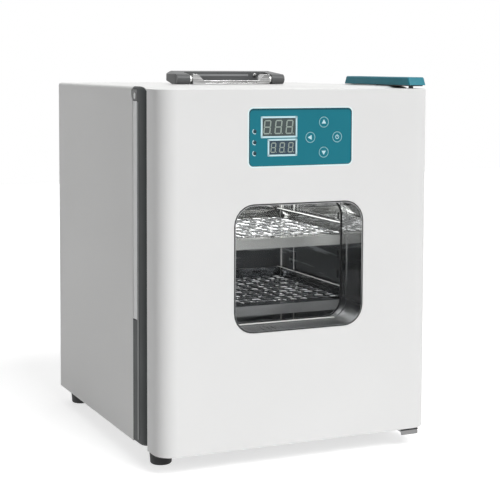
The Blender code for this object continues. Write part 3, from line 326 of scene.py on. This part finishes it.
dressSettings = {
    "casePaint": {"outer_shell": 0.35, "base_pan": 0.3, "rear_panel": 0.3, "hinge_cover_pad": 0.2},
    "doorPaint": {"door_shell": 0.7, "door_liner": 0.3},
    "darkMoulding": {"front_frame": 0.4},
    "capGrey": {"grip_corner_cap": 0.4},
    "greyTrim": {"grip_strip": 0.3},
    "footRubber": {"foot_front_left": 0.6, "foot_front_right": 0.6, "foot_rear_left": 0.6, "foot_rear_right": 0.6},
    "sealRubber": {"door_gasket": 0.8},
    "linerSteelShadeAndGlints": {"chamber_liner": 0.3, "shelf_upright_front_left": 0.2, "shelf_upright_front_right": 0.2,
                   "shelf_upright_rear_left": 0.2, "shelf_upright_rear_right": 0.2, "floor_plate": 0.2},
    "railSteelShaded": {"upper_rail_left": 0.2, "upper_rail_right": 0.2, "lower_rail_left": 0.2, "lower_rail_right": 0.2},
    "revealSteelShaded": {"window_reveal": 0.2},
    "plate": {"temperature_probe": 0.3, "heater_element": 0, "transformer": 0.4, "handle_pin_left": 0.2,
              "handle_pin_right": 0.2},
    "bracketSteel": {"lower_hinge_bracket": 0.4},
    "handleSteelReflections": {"handle_base": 0.35},
    # The hinge arm is near-black as painted shade in the gap under the cover
    "darkSteelShade": {"upper_hinge_arm": 0.2},
    "tealPlastic": {"hinge_cover": 0.5},
    "overlayFilm": {"control_overlay": 0.1, "key_up": 0.25, "key_left": 0.25, "key_set": 0.25, "key_down": 0.25},
    "displayFace": {"pv_display": 0.15},
    "displayFaceBlue": {"sv_display": 0.15},
    "lampLens": {"indicator_strip": 0.2},
    "boardGreen": {"power_board": 0, "control_board": 0},
    "foam": {"insulation_jacket": 0, "door_insulation": 0},
    "handlePlastic": {"carry_handle": 0.7},
    "blackPlastic": {"inlet_socket": 0.3, "switch_bezel": 0.2, "fuse_holder": 0.2, "power_rocker": 0.4,
                     "hinge_bush_lower": 0.2, "hinge_bush_upper": 0.2},
    "ceramic": {"thermal_cutout": 0.3},
    "glass": {"window_outer_glass": 0, "window_inner_glass": 0},
}


weld = 0.01 * mm
flatAngle = 0.3
sharpAngle = 38
smoothAngle = 32


def addPiece(name, bm, finish, body, stands=()):
    mesh = bpy.data.meshes.new(name)
    bm.to_mesh(mesh)
    bm.free()
    mesh.shade_smooth()
    mesh.set_sharp_from_angle(angle=math.radians(smoothAngle))
    piece = bpy.data.objects.new(name, mesh)
    bpy.context.scene.collection.objects.link(piece)
    mesh.materials.append(finishes[finish])
    even = piece.modifiers.new("even", "WEIGHTED_NORMAL")
    even.keep_sharp = True
    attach(piece, body)
    for node in stands:
        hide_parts(node)
    return piece


def mergedCopy(name):
    bm = bmesh.new()
    bm.from_mesh(nodes[name].data)
    bmesh.ops.remove_doubles(bm, verts=bm.verts, dist=weld)
    bmesh.ops.dissolve_limit(bm, angle_limit=math.radians(flatAngle), verts=bm.verts, edges=bm.edges)
    return bm


def softenEdges(bm, width):
    sharp = [e for e in bm.edges if len(e.link_faces) == 2 and e.calc_face_angle(0) > math.radians(sharpAngle)]
    bmesh.ops.bevel(bm, geom=sharp, offset=width, offset_type="OFFSET", segments=2, profile=0.5,
                    affect="EDGES", clamp_overlap=True, material=-1)


for finishName, members in dressSettings.items():
    for member, edge in members.items():
        if edge == 0:
            nodes[member].data.materials.clear()
            nodes[member].data.materials.append(finishes[finishName])
            continue
        bm = mergedCopy(member)
        softenEdges(bm, edge * mm)
        addPiece(member + "_dressed", bm, finishName, bodyOf[member], (member,))
print("nodes dressed")


# Small tools for new pieces: a plate is drawn flat, thickened, and stood up to face the front

def roundedPlate(width, height, radius, segments=8):
    bm = bmesh.new()
    bmesh.ops.create_grid(bm, x_segments=1, y_segments=1, size=0.5)
    bmesh.ops.scale(bm, vec=(width, height, 1), verts=bm.verts)
    if radius:
        bmesh.ops.bevel(bm, geom=bm.verts[:], offset=radius, affect="VERTICES", segments=segments, profile=0.5,
                        material=-1)
    return bm


def cutMiddle(bm, rim):
    inner = bm.faces[:]
    bmesh.ops.inset_region(bm, faces=inner, thickness=rim, use_boundary=True, use_even_offset=True)
    bmesh.ops.delete(bm, geom=inner, context="FACES")


def pointsOf(made):
    return [v for v in made["geom"] if isinstance(v, bmesh.types.BMVert)]


def thicken(bm, depth):
    made = bmesh.ops.extrude_face_region(bm, geom=bm.faces[:])
    bmesh.ops.translate(bm, vec=(0, 0, depth), verts=pointsOf(made))
    bmesh.ops.recalc_face_normals(bm, faces=bm.faces)


def standUp(bm, place, turn=0):
    spin = Matrix.Rotation(math.radians(turn), 4, "Z")
    bmesh.ops.transform(bm, matrix=Matrix.Translation(place) @ Matrix.Rotation(math.radians(90), 4, "X") @ spin,
                        verts=bm.verts)


def joined(parts):
    bm = bmesh.new()
    for part in parts:
        mesh = bpy.data.meshes.new("part")
        part.to_mesh(mesh)
        part.free()
        bm.from_mesh(mesh)
        bpy.data.meshes.remove(mesh)
    return bm


def middle(node):
    low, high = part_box(node)
    return [(low[i] + high[i]) / 2 for i in range(3)]


# Control panel: lamps, pale outline, darker film edge as painted shade (widest at the top), display frames, digits,
# key rings and signs

panelSettings = {
    "outline": 1.35 * mm,
    "outside": 1.15 * mm,
    "outlineRadius": 6.0 * mm,
    "shade": 0.7 * mm,
    "edge": 1.3 * mm,
    "frameLine": 1.75 * mm,
    "frameCorner": 0.5 * mm,
    "frameDepth": 0.096 * mm,
    "printDepth": 0.06 * mm,
    "lift": 0.02 * mm,
    "lamp": 1.9 * mm,
    "lampFlat": 0.35,
    "lampEnd": 4 * mm,
    "crescent": 0.75 * mm,
    "crescentCut": (1, 0.55, 0),
}

keySettings = {
    "radius": 5.45 * mm,
    "line": 0.75 * mm,
    "lift": 0.02 * mm,
    "depth": 0.06 * mm,
    "signDepth": 0.09 * mm,
    "arrow": 2.9 * mm,
    "arrowCorner": 0.5 * mm,
    "arrows": {"key_up": 90, "key_left": 180, "key_down": 270},
    "dial": 2.1 * mm,
    "dialLine": 0.55 * mm,
    "hand": (0.8 * mm, 2.6 * mm, 0.2 * mm),
}


def ringPiece(name, width, height, radius, rim, depth, place, finish, body, segments=8):
    bm = roundedPlate(width, height, radius, segments)
    cutMiddle(bm, rim)
    thicken(bm, depth)
    standUp(bm, place)
    return addPiece(name, bm, finish, body)


def buildPanelPrint(s):
    low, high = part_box("control_overlay")
    centre = middle("control_overlay")
    face = low[1]
    width, height = high[0] - low[0], high[2] - low[2]
    place = (centre[0], face + s["lift"], centre[2])
    grow = 2 * s["outside"]
    ringPiece("panel_outline", width + grow, height + grow, s["outlineRadius"], s["outline"], s["printDepth"],
              place, "outlinePrint", "door")
    # Darker border inside the outline, painted shade, widened at the top
    edge = roundedPlate(width, height, s["outlineRadius"] - s["outside"])
    cutMiddle(edge, s["edge"])
    across, along = (width - s["edge"]) / 2, (height - s["edge"]) / 2
    hole = [v for v in edge.verts if abs(v.co.x) < across and abs(v.co.y) < along]
    bmesh.ops.translate(edge, vec=(0, -s["shade"], 0), verts=hole)
    thicken(edge, s["printDepth"] / 2)
    standUp(edge, place)
    addPiece("panel_edge_shade", edge, "filmEdgeShade", "door")
    for node in ("pv_display", "sv_display"):
        low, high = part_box(node)
        centre = middle(node)
        line = 2 * s["frameLine"]
        ringPiece(node + "_frame", high[0] - low[0] + line, high[2] - low[2] + line, s["frameCorner"],
                  s["frameLine"], s["frameDepth"], (centre[0], face + s["lift"], centre[2]), "palePrint", "door",
                  3)


digitSettings = {
    "pv_display": {"height": 13.9 * mm, "width": 7.6 * mm, "pitch": 12.0 * mm, "line": 1.2 * mm, "shift": -0.6 * mm},
    "sv_display": {"height": 10.1 * mm, "width": 5.6 * mm, "pitch": 9.4 * mm, "line": 1.0 * mm, "shift": -0.3 * mm},
    "tip": 0.48,
    "flatGap": 1.25,
    "tallGap": 0.75,
    "dot": 0.5,
    "dotAcross": 1.25,
    "slant": 6,
    "depth": 0.12 * mm,
    "lift": 0.04 * mm,
}


def segmentBar(length, line, x, y, turn):
    bm = roundedPlate(length, line, line * digitSettings["tip"], 1)
    bmesh.ops.rotate(bm, matrix=Matrix.Rotation(math.radians(turn), 3, "Z"), verts=bm.verts)
    bmesh.ops.translate(bm, vec=(x, y, 0), verts=bm.verts)
    return bm


def digitParts(own, x, s):
    line = own["line"]
    side, rise = (own["width"] - line) / 2, (own["height"] - line) / 2
    flat, tall = own["width"] - line * s["flatGap"], own["height"] / 2 - line * s["tallGap"]
    parts = [segmentBar(flat, line, x, level, 0) for level in (-rise, 0, rise)]
    parts += [segmentBar(tall, line, x + across, up * rise / 2, 90) for across in (-side, side) for up in (-1, 1)]
    dot = bmesh.new()
    bmesh.ops.create_circle(dot, cap_ends=True, segments=10, radius=line * s["dot"])
    bmesh.ops.translate(dot, vec=(x + side + line * s["dotAcross"], -rise, 0), verts=dot.verts)
    return parts + [dot]


def buildDigits(s):
    for node in ("pv_display", "sv_display"):
        own = s[node]
        parts = []
        for i in (-1, 0, 1):
            parts += digitParts(own, i * own["pitch"] + own["shift"], s)
        bm = joined(parts)
        lean = Matrix.Identity(4)
        lean[0][1] = math.tan(math.radians(s["slant"]))
        bmesh.ops.transform(bm, matrix=lean, verts=bm.verts)
        thicken(bm, s["depth"])
        centre = middle(node)
        standUp(bm, (centre[0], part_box(node)[0][1] + s["lift"], centre[2]))
        addPiece(node + "_digits", bm, "segment", "door")


def arrowSign(s):
    bm = bmesh.new()
    bmesh.ops.create_circle(bm, cap_ends=True, segments=3, radius=s["arrow"])
    bmesh.ops.rotate(bm, matrix=Matrix.Rotation(math.radians(-90), 3, "Z"), verts=bm.verts)
    tip = max(bm.verts, key=lambda v: v.co.x)
    bmesh.ops.rotate(bm, matrix=Matrix.Rotation(-math.atan2(tip.co.y, tip.co.x), 3, "Z"), verts=bm.verts)
    bmesh.ops.bevel(bm, geom=bm.verts[:], offset=s["arrowCorner"], affect="VERTICES", segments=3, profile=0.5,
                    material=-1)
    return bm


def dialSign(s):
    bm = bmesh.new()
    bmesh.ops.create_circle(bm, cap_ends=True, segments=24, radius=s["dial"])
    cutMiddle(bm, s["dialLine"])
    hand = roundedPlate(*s["hand"], 2)
    bmesh.ops.translate(hand, vec=(0, s["hand"][1] / 2, 0), verts=hand.verts)
    return joined([bm, hand])


def buildKeyPrint(s):
    for node in ("key_up", "key_left", "key_set", "key_down"):
        centre = middle(node)
        place = (centre[0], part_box(node)[0][1] + s["lift"], centre[2])
        bm = bmesh.new()
        bmesh.ops.create_circle(bm, cap_ends=True, segments=40, radius=s["radius"])
        cutMiddle(bm, s["line"])
        thicken(bm, s["depth"])
        standUp(bm, place)
        addPiece(node + "_ring", bm, "paleLine", node)
        bm = arrowSign(s) if node in s["arrows"] else dialSign(s)
        thicken(bm, s["signDepth"])
        standUp(bm, place, s["arrows"].get(node, 0))
        addPiece(node + "_sign", bm, "palePrint", node)


def buildLamps(s):
    low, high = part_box("indicator_strip")
    centre = middle("indicator_strip")
    pitch = (high[2] - low[2]) / 2 - s["lampEnd"]
    lenses, crescents = [], []
    for i in (-1, 0, 1):
        place = (centre[0], low[1] - s["lift"], centre[2] + i * pitch)
        lens = bmesh.new()
        bmesh.ops.create_uvsphere(lens, u_segments=16, v_segments=8, radius=s["lamp"])
        bmesh.ops.scale(lens, vec=(1, 1, s["lampFlat"]), verts=lens.verts)
        standUp(lens, place)
        lenses.append(lens)
        moon = bmesh.new()
        bmesh.ops.create_circle(moon, cap_ends=True, segments=28, radius=s["lamp"] + s["crescent"])
        cutMiddle(moon, s["crescent"])
        bmesh.ops.bisect_plane(moon, geom=moon.verts[:] + moon.edges[:] + moon.faces[:], plane_co=(0, 0, 0),
                               plane_no=s["crescentCut"], clear_outer=True)
        thicken(moon, s["printDepth"])
        standUp(moon, place)
        crescents.append(moon)
    addPiece("lamp_lenses", joined(lenses), "lampLens", "door")
    addPiece("lamp_crescents", joined(crescents), "palePrint", "door")


buildLamps(panelSettings)
buildPanelPrint(panelSettings)
buildDigits(digitSettings)
buildKeyPrint(keySettings)
print("panel printed")


# Window: dark rim round the opening, bright bead in front of the inner glass, and behind it the
# lining, the lip seal and the inner skin's frame. Each ring is drawn round one node's outline.

windowSettings = {
    "radius": 19.4 * mm,
    "sill": 1.3 * mm,
    "sillDepth": 1.2 * mm,
    "sillAhead": 2.6 * mm,
    "sillRise": 0.2 * mm,
    "sillShort": 0.7,
    "sillEdge": 0.3 * mm,
}

windowRings = {
    "window_rim": {"around": "window_reveal", "grow": 0.2 * mm, "corner": 1.6 * mm, "rim": 1.0 * mm,
                   "depth": 1.2 * mm, "face": ("window_reveal", 0), "back": 1.14 * mm,
                   "finish": "blackPlastic", "slot": "gasket_rubber"},
    "window_bead": {"around": "window_outer_glass", "grow": 0.4 * mm, "corner": 0, "rim": 0.6 * mm,
                    "depth": 2.2 * mm, "face": ("window_inner_glass", 0), "back": -0.1 * mm,
                    "finish": "revealSteelShaded", "slot": "stainless"},
    "window_lining": {"around": "window_reveal", "grow": -0.2 * mm, "corner": 0.6 * mm, "rim": 1.2 * mm,
                      "depth": 6.5 * mm, "face": ("window_inner_glass", 1), "back": 6.6 * mm,
                      "finish": "revealSteelShaded", "slot": "stainless"},
    "window_lip_seal": {"around": "window_reveal", "grow": 0.6 * mm, "corner": 1.0 * mm, "rim": 2.6 * mm,
                        "depth": 1.2 * mm, "face": ("window_inner_glass", 1), "back": 8.3 * mm,
                        "finish": "blackPlastic", "slot": "gasket_rubber"},
    "window_inner_frame": {"around": "window_outer_glass", "grow": 26 * mm, "corner": 8 * mm, "rim": 11.5 * mm,
                           "depth": 1.2 * mm, "face": ("window_inner_glass", 1), "back": 2.8 * mm,
                           "finish": "doorPaint", "slot": "white_paint"},
}


def buildWindowRings(s, rings):
    centre = middle("window_outer_glass")
    for name, ring in rings.items():
        low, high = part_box(ring["around"])
        node, side = ring["face"]
        place = (centre[0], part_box(node)[side][1] + ring["back"], centre[2])
        ringPiece(name, high[0] - low[0] + ring["grow"], high[2] - low[2] + ring["grow"],
                  s["radius"] + ring["corner"], ring["rim"], ring["depth"], place, ring["finish"], "door")


def bar(low, high, edge):
    bm = bmesh.new()
    bmesh.ops.create_cube(bm, size=1)
    bmesh.ops.scale(bm, vec=[high[i] - low[i] for i in range(3)], verts=bm.verts)
    bmesh.ops.translate(bm, vec=[(low[i] + high[i]) / 2 for i in range(3)], verts=bm.verts)
    bmesh.ops.bevel(bm, geom=bm.edges[:], offset=edge, affect="EDGES", segments=2, profile=0.5, material=-1)
    return bm


# Sill: a pale bar along the bottom of the inner glass, a painted highlight
def buildSill(s):
    low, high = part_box("window_inner_glass")
    x = (low[0] + high[0]) / 2
    y = low[1] - s["sillAhead"]
    z = low[2] + s["sillRise"]
    half = (high[0] - low[0]) / 2 - s["radius"] * s["sillShort"]
    bm = bar((x - half, y, z), (x + half, y + s["sillDepth"], z + s["sill"]), s["sillEdge"])
    addPiece("window_sill_highlight", bm, "brightEdgeHighlight", "door")


buildWindowRings(windowSettings, windowRings)
buildSill(windowSettings)
print("window trimmed")


# Chamber: painted highlights, as pale beads in the back corners and pale hems on the rails and uprights

highlightHemSettings = {
    "bead": 1.8 * mm,
    "beadIn": 11 * mm,
    "beadBack": (3.6 * mm, 1.8 * mm),
    "beadShort": 14 * mm,
    "beadEdge": 0.4 * mm,
    "hem": 0.9 * mm,
    "hemEdge": 0.35 * mm,
    "railIn": 6 * mm,
}


def buildHighlightHems(s):
    low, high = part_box("chamber_liner")
    front, back = s["beadBack"]
    parts = []
    for side in (-1, 1):
        x = side * (high[0] - s["beadIn"])
        parts.append(bar((x - s["bead"] / 2, high[1] - front, low[2] + s["beadShort"]),
                         (x + s["bead"] / 2, high[1] - back, high[2] - s["beadShort"]), s["beadEdge"]))
    # Pale beads in the back corners: painted highlights
    addPiece("corner_highlight_beads", joined(parts), "brightEdgeHighlight", "case")
    half = s["hem"] / 2
    for side in ("left", "right"):
        parts = []
        for shelf in ("upper", "lower"):
            low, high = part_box(f"{shelf}_rail_{side}")
            x = high[0] - s["railIn"] if side == "right" else low[0] + s["railIn"]
            parts.append(bar((x - half, low[1], high[2] - s["hem"]), (x + half, high[1], high[2]), s["hemEdge"]))
        addPiece(f"rail_highlight_hems_{side}", joined(parts), "brightEdgeHighlight", "case")
        parts = []
        for end in ("front", "rear"):
            low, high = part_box(f"shelf_upright_{end}_{side}")
            x = low[0] if side == "right" else high[0]
            parts.append(bar((x - half, low[1], low[2]), (x + half, low[1] + s["hem"], high[2]), s["hemEdge"]))
        addPiece(f"upright_hems_{side}", joined(parts), "brightEdgeHighlight", "case")


buildHighlightHems(highlightHemSettings)
print("chamber hemmed")


# Shelves: sheet with rows of holes, lip down at the front and stop up at the back

shelfSettings = {
    "pitch": 12.6 * mm,
    "hole": 7.4 * mm,
    "corner": 2.0 * mm,
    "border": 9 * mm,
    "sheet": 1.2 * mm,
    "lip": 10.7 * mm,
    "sheets": {"upper_shelf": ("shelfSteelGlints", "lipSteel"), "lower_shelf": ("lowShelfSteelShaded", "lowLipSteel")},
    "stop": 8 * mm,
    "hem": 3.0 * mm,
    "upright": 0.7,
}


def punchedSheet(width, depth, s):
    columns = int((width - 2 * s["border"]) / s["pitch"])
    rows = int((depth - 2 * s["border"]) / s["pitch"])
    across, along = columns * s["pitch"], rows * s["pitch"]
    bm = bmesh.new()
    bmesh.ops.create_grid(bm, x_segments=columns, y_segments=rows, size=0.5)
    bmesh.ops.scale(bm, vec=(across, along, 1), verts=bm.verts)
    rim = [e for e in bm.edges if e.is_boundary]
    made = bmesh.ops.extrude_edge_only(bm, edges=rim)
    bmesh.ops.scale(bm, vec=(width / across, depth / along, 1), verts=pointsOf(made))
    cells = [f for f in bm.faces if not any(e.is_boundary for e in f.edges)]
    bmesh.ops.inset_individual(bm, faces=cells, thickness=(s["pitch"] - s["hole"]) / 2)
    inner = list({v for f in cells for v in f.verts})
    bmesh.ops.bevel(bm, geom=inner, offset=s["corner"], affect="VERTICES", segments=1, profile=0.5, material=-1)
    holes = [f for f in bm.faces if len(f.verts) == 8]
    bmesh.ops.delete(bm, geom=holes, context="FACES")
    return bm


def foldEdge(bm, edges, move):
    made = bmesh.ops.extrude_edge_only(bm, edges=edges)
    bmesh.ops.translate(bm, vec=move, verts=pointsOf(made))
    moved = set(pointsOf(made))
    return [e for e in made["geom"] if isinstance(e, bmesh.types.BMEdge) and e.is_boundary
            and all(v in moved for v in e.verts)]


def buildShelf(name, s):
    low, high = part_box(name)
    centre = middle(name)
    depth = high[1] - low[1]
    bm = punchedSheet(high[0] - low[0], depth, s)
    for side, drop in ((-1, -s["lip"]), (1, s["stop"])):
        ends = [e for e in bm.edges if e.is_boundary and all(v.co.y * side > depth / 2 - 0.1 * mm for v in e.verts)]
        folded = foldEdge(bm, ends, (0, 0, drop))
        if side == -1:
            foldEdge(bm, folded, (0, s["hem"], 0))
    bmesh.ops.remove_doubles(bm, verts=bm.verts, dist=weld)
    bmesh.ops.translate(bm, vec=(centre[0], centre[1], low[2] + s["lip"]), verts=bm.verts)
    bmesh.ops.recalc_face_normals(bm, faces=bm.faces)
    if sum(f.normal.z for f in bm.faces) < 0:
        bmesh.ops.reverse_faces(bm, faces=bm.faces)
    for face in bm.faces:
        front = face.calc_center_median().y < centre[1]
        face.material_index = int(front and abs(face.normal.y) > s["upright"])
    sheet, lip = s["sheets"][name]
    piece = addPiece(name + "_sheet", bm, sheet, "case", (name,))
    for finish in (lip, "punchedEdgeGlints"):
        piece.data.materials.append(finishes[finish])
    wall = piece.modifiers.new("wall", "SOLIDIFY")
    wall.thickness = s["sheet"]
    wall.offset = -1
    wall.material_offset_rim = 2
    piece.modifiers.move(1, 0)


for shelfName in shelfSettings["sheets"]:
    buildShelf(shelfName, shelfSettings)
print("shelves perforated")


# Screws: a round head with a sunk drive, set along an axis. Lengths of the head are shares of its radius.

screwSettings = {
    "sides": 18,
    "height": 0.42,
    "top": 0.93,
    "edge": 0.14,
    "driveIn": 0.464,
    "driveDepth": 0.3,
    "sunk": 0.02 * mm,
    "panel": 3.1 * mm,
    "panelSides": [(side * 140 * mm, z * mm) for side in (-1, 1) for z in (30, 140, 255, 366)],
    "panelEnds": [(x * mm, z * mm) for z in (366, 28) for x in (-70, 0, 70)],
    "inlet": 2.4 * mm,
    "inletApart": 20 * mm,
    "pan": [(x * mm, y * mm) for x in (-100, 100) for y in (-60, 30, 120)],
    "bracket": 2.6 * mm,
    "bracketRight": 2.6 * mm,
    "bracketRows": (-120 * mm, -109 * mm),
}


def topFace(bm):
    return max(bm.faces, key=lambda f: f.calc_center_median().z)


def screwHead(radius, s):
    bm = bmesh.new()
    height = radius * s["height"]
    bmesh.ops.create_cone(bm, cap_ends=True, segments=s["sides"], radius1=radius, radius2=radius * s["top"],
                          depth=height)
    bmesh.ops.bevel(bm, geom=list(topFace(bm).edges), offset=radius * s["edge"], affect="EDGES", segments=2,
                    profile=0.5, material=-1)
    top = topFace(bm)
    bmesh.ops.inset_individual(bm, faces=[top], thickness=radius * s["driveIn"])
    made = bmesh.ops.extrude_face_region(bm, geom=[top])
    bmesh.ops.delete(bm, geom=[top], context="FACES_ONLY")
    bmesh.ops.translate(bm, vec=(0, 0, -radius * s["driveDepth"]), verts=pointsOf(made))
    bmesh.ops.recalc_face_normals(bm, faces=bm.faces)
    bmesh.ops.translate(bm, vec=(0, 0, height / 2), verts=bm.verts)
    return bm


def screwRow(name, places, axis, radius, body="case"):
    turn = Vector((0, 0, 1)).rotation_difference(Vector(axis)).to_matrix().to_4x4()
    parts = []
    for place in places:
        bm = screwHead(radius, screwSettings)
        bmesh.ops.transform(bm, matrix=Matrix.Translation(place) @ turn, verts=bm.verts)
        parts.append(bm)
    addPiece(name, joined(parts), "plate", body)


def buildScrews(s):
    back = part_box("rear_panel")[1][1] - s["sunk"]
    screwRow("rear_screws", [(x, back, z) for x, z in s["panelSides"] + s["panelEnds"]], (0, 1, 0), s["panel"])
    x, _, z = middle("inlet_socket")
    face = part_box("inlet_socket")[1][1] - s["sunk"]
    screwRow("inlet_screws", [(x + side * s["inletApart"], face, z) for side in (-1, 1)], (0, 1, 0), s["inlet"])
    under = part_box("base_pan")[0][2] + s["sunk"]
    screwRow("pan_screws", [(x, y, under) for x, y in s["pan"]], (0, 0, -1), s["panel"])
    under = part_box("lower_hinge_bracket")[0][2] + s["sunk"]
    x = middle("lower_hinge_bracket")[0] + s["bracketRight"]
    screwRow("bracket_screws", [(x, y, under) for y in s["bracketRows"]], (0, 0, -1), s["bracket"])


buildScrews(screwSettings)


# Carry handle: ridge on each arm, a lighter strip along the grip that is a painted highlight, and a screw in the grip

handleSettings = {
    "arm": (48.85 * mm, 64.55 * mm),
    "ridgeFront": 6.2 * mm,
    "ridge": 2.6 * mm,
    "ridgeRise": (0.5 * mm, 10.6 * mm),
    "ridgeEdge": 0.5 * mm,
    "grip": 13 * mm,
    "gripHighlight": (-43 * mm, 30 * mm),
    "gripHighlightHeight": 2.4 * mm,
    "gripHighlightDrop": 3.6 * mm,
    "gripHighlightDepth": (0.5 * mm, 0.3 * mm),
    "gripHighlightEdge": 0.2 * mm,
    "screw": 2.3 * mm,
    "screwAcross": 38 * mm,
    "screwDrop": 4.6 * mm,
}


def buildHandleTrim(s):
    low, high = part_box("carry_handle")
    front, top = low[1] + s["ridgeFront"], high[2]
    bottom, rise = (low[2] + level for level in s["ridgeRise"])
    parts = []
    for side in (-1, 1):
        inner, outer = sorted(side * edge for edge in s["arm"])
        parts.append(bar((inner, front, bottom), (outer, front + s["ridge"], rise), s["ridgeEdge"]))
    addPiece("handle_ridges", joined(parts), "handlePlastic", "carry_handle")
    grip = high[1] - s["grip"]
    left, right = s["gripHighlight"]
    ahead, behind = s["gripHighlightDepth"]
    level = top - s["gripHighlightDrop"]
    # Lighter strip along the grip's front: a painted highlight
    strip = bar((left, grip - ahead, level - s["gripHighlightHeight"]), (right, grip + behind, level), s["gripHighlightEdge"])
    addPiece("handle_grip_highlight", strip, "handleGripHighlight", "carry_handle")
    place = (s["screwAcross"], grip + screwSettings["sunk"], top - s["screwDrop"])
    screwRow("handle_screws", [place], (0, -1, 0), s["screw"], "carry_handle")


buildHandleTrim(handleSettings)


# Hinge bracket: turned-up front edge with a dark strip along its top, painted shade under the door. Each is measured
# from the bracket's corners.

bracketSettings = {
    "under": 0.8 * mm,
    "edge": 0.4 * mm,
    "plate": {"left": 0.4 * mm, "front": 0.02 * mm, "right": -0.3 * mm, "back": 1.6 * mm, "foot": 0.2 * mm},
    "pad": {"left": -0.1 * mm, "front": -0.4 * mm, "right": 0.1 * mm, "back": 2.2 * mm, "height": 1.6 * mm},
}


def buildBracketFront(s):
    low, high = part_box("lower_hinge_bracket")
    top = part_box("door_shell")[0][2] - s["under"]
    own = s["plate"]
    plate = bar((low[0] + own["left"], low[1] + own["front"], low[2] + own["foot"]),
                (high[0] + own["right"], low[1] + own["back"], top), s["edge"])
    addPiece("bracket_front", plate, "bracketSteel", "case")
    # Dark strip along the top of the plate: painted shade under the door
    own = s["pad"]
    pad = bar((low[0] + own["left"], low[1] + own["front"], top - own["height"]),
              (high[0] + own["right"], low[1] + own["back"], top), s["edge"])
    addPiece("bracket_shade_pad", pad, "darkSteelShade", "case")


buildBracketFront(bracketSettings)


# Left band: bead along the frame, plug in the corner cap

bandSettings = {
    "bead": (-110.0 * mm, -105.2 * mm),
    "proud": 0.3 * mm,
    "inside": 1.0 * mm,
    "low": 24 * mm,
    "high": 361 * mm,
    "beadEdge": 0.25 * mm,
    "plug": (4.6 * mm, 6.4 * mm),
    "plugRadius": 2.2 * mm,
    "plugDepth": 0.5 * mm,
    "plugEdge": 0.2 * mm,
    "plugShift": (-0.2 * mm, -3 * mm, -1 * mm),
}


def buildBand(s):
    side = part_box("front_frame")[0][0]
    front, rear = s["bead"]
    strip = bar((side - s["proud"], front, s["low"]), (side + s["inside"], rear, s["high"]), s["beadEdge"])
    addPiece("frame_bead", strip, "frameBead", "case")
    plug = roundedPlate(*s["plug"], s["plugRadius"])
    thicken(plug, s["plugDepth"])
    rim = [e for e in plug.edges if all(v.co.z > s["plugDepth"] / 2 for v in e.verts)]
    bmesh.ops.bevel(plug, geom=rim, offset=s["plugEdge"], affect="EDGES", segments=2, profile=0.5, material=-1)
    turn = Matrix.Rotation(math.radians(-90), 4, "Y") @ Matrix.Rotation(math.radians(-90), 4, "Z")
    centre = middle("grip_corner_cap")
    place = Vector((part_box("grip_corner_cap")[0][0], centre[1], centre[2])) + Vector(s["plugShift"])
    bmesh.ops.transform(plug, matrix=Matrix.Translation(place) @ turn, verts=plug.verts)
    addPiece("cap_plug", plug, "greyTrim", "case")


buildBand(bandSettings)
print("screws, handle, bracket and band trimmed")


# Stage and light: a floor that mirrored rays see as plain white, a white background, two suns and a
# lamp in the chamber

stageSettings = {
    "floorSize": 6.0,
    "floorColour": (0.56, 0.56, 0.56),
    "floorGlow": 0.68,
    "worldStrength": 0.185,
    "chamberSize": 0.16,
    "lamps": {
        "key": {"kind": "SUN", "power": 2.7, "spread": 30, "place": (0.55, -1.9, 2.3), "aim": (0, 0, 0.2)},
        "top": {"kind": "SUN", "power": 0.45, "spread": 60, "place": (0, 0.3, 3), "aim": (0, 0, 0)},
        "chamber_glow": {"kind": "AREA", "power": 1.0, "place": (0, 0, 0.338), "aim": (0, 0, 0.2)},
    },
}


def buildLamp(name, lamp, s):
    data = bpy.data.lights.new(name, lamp["kind"])
    data.energy = lamp["power"]
    if lamp["kind"] == "SUN":
        data.angle = math.radians(lamp["spread"])
    else:
        data.size = s["chamberSize"]
    holder = bpy.data.objects.new(name, data)
    bpy.context.scene.collection.objects.link(holder)
    holder.location = lamp["place"]
    holder.rotation_euler = (Vector(lamp["aim"]) - Vector(lamp["place"])).to_track_quat("-Z", "Y").to_euler()


def floorFinish(s):
    g = newGraph("floor_paint")
    plain = g.own("Principled BSDF", Base_Color=solid(s["floorColour"]), Roughness=0.9)
    camera, mirrored = g.rayKinds()
    both = g.node("AddShader", {}, {0: plain, 1: g.emission(s["floorGlow"])})
    g.show(g.mixShaders(camera, g.mixShaders(mirrored, plain, g.emission(1.0)), both))
    return g.holder


def buildWorld(s):
    world = bpy.data.worlds.new("studio")
    bpy.context.scene.world = world
    g = Graph(world, "World Output")
    camera, mirrored = g.rayKinds()
    white = g.clamped(camera + mirrored)
    dim = g.own("Background", Color=solid((1, 1, 1)), Strength=s["worldStrength"])
    plain = g.node("Background", {}, {"Color": solid((1, 1, 1))})
    g.show(g.mixShaders(white, dim, plain))


def buildFloor(s):
    bm = bmesh.new()
    bmesh.ops.create_grid(bm, x_segments=1, y_segments=1, size=s["floorSize"] / 2)
    mesh = bpy.data.meshes.new("floor")
    bm.to_mesh(mesh)
    bm.free()
    floor = bpy.data.objects.new("floor", mesh)
    bpy.context.scene.collection.objects.link(floor)
    mesh.materials.append(floorFinish(s))


buildWorld(stageSettings)
buildFloor(stageSettings)
for lampName, lampSettings in stageSettings["lamps"].items():
    buildLamp(lampName, lampSettings, stageSettings)
print("stage built")
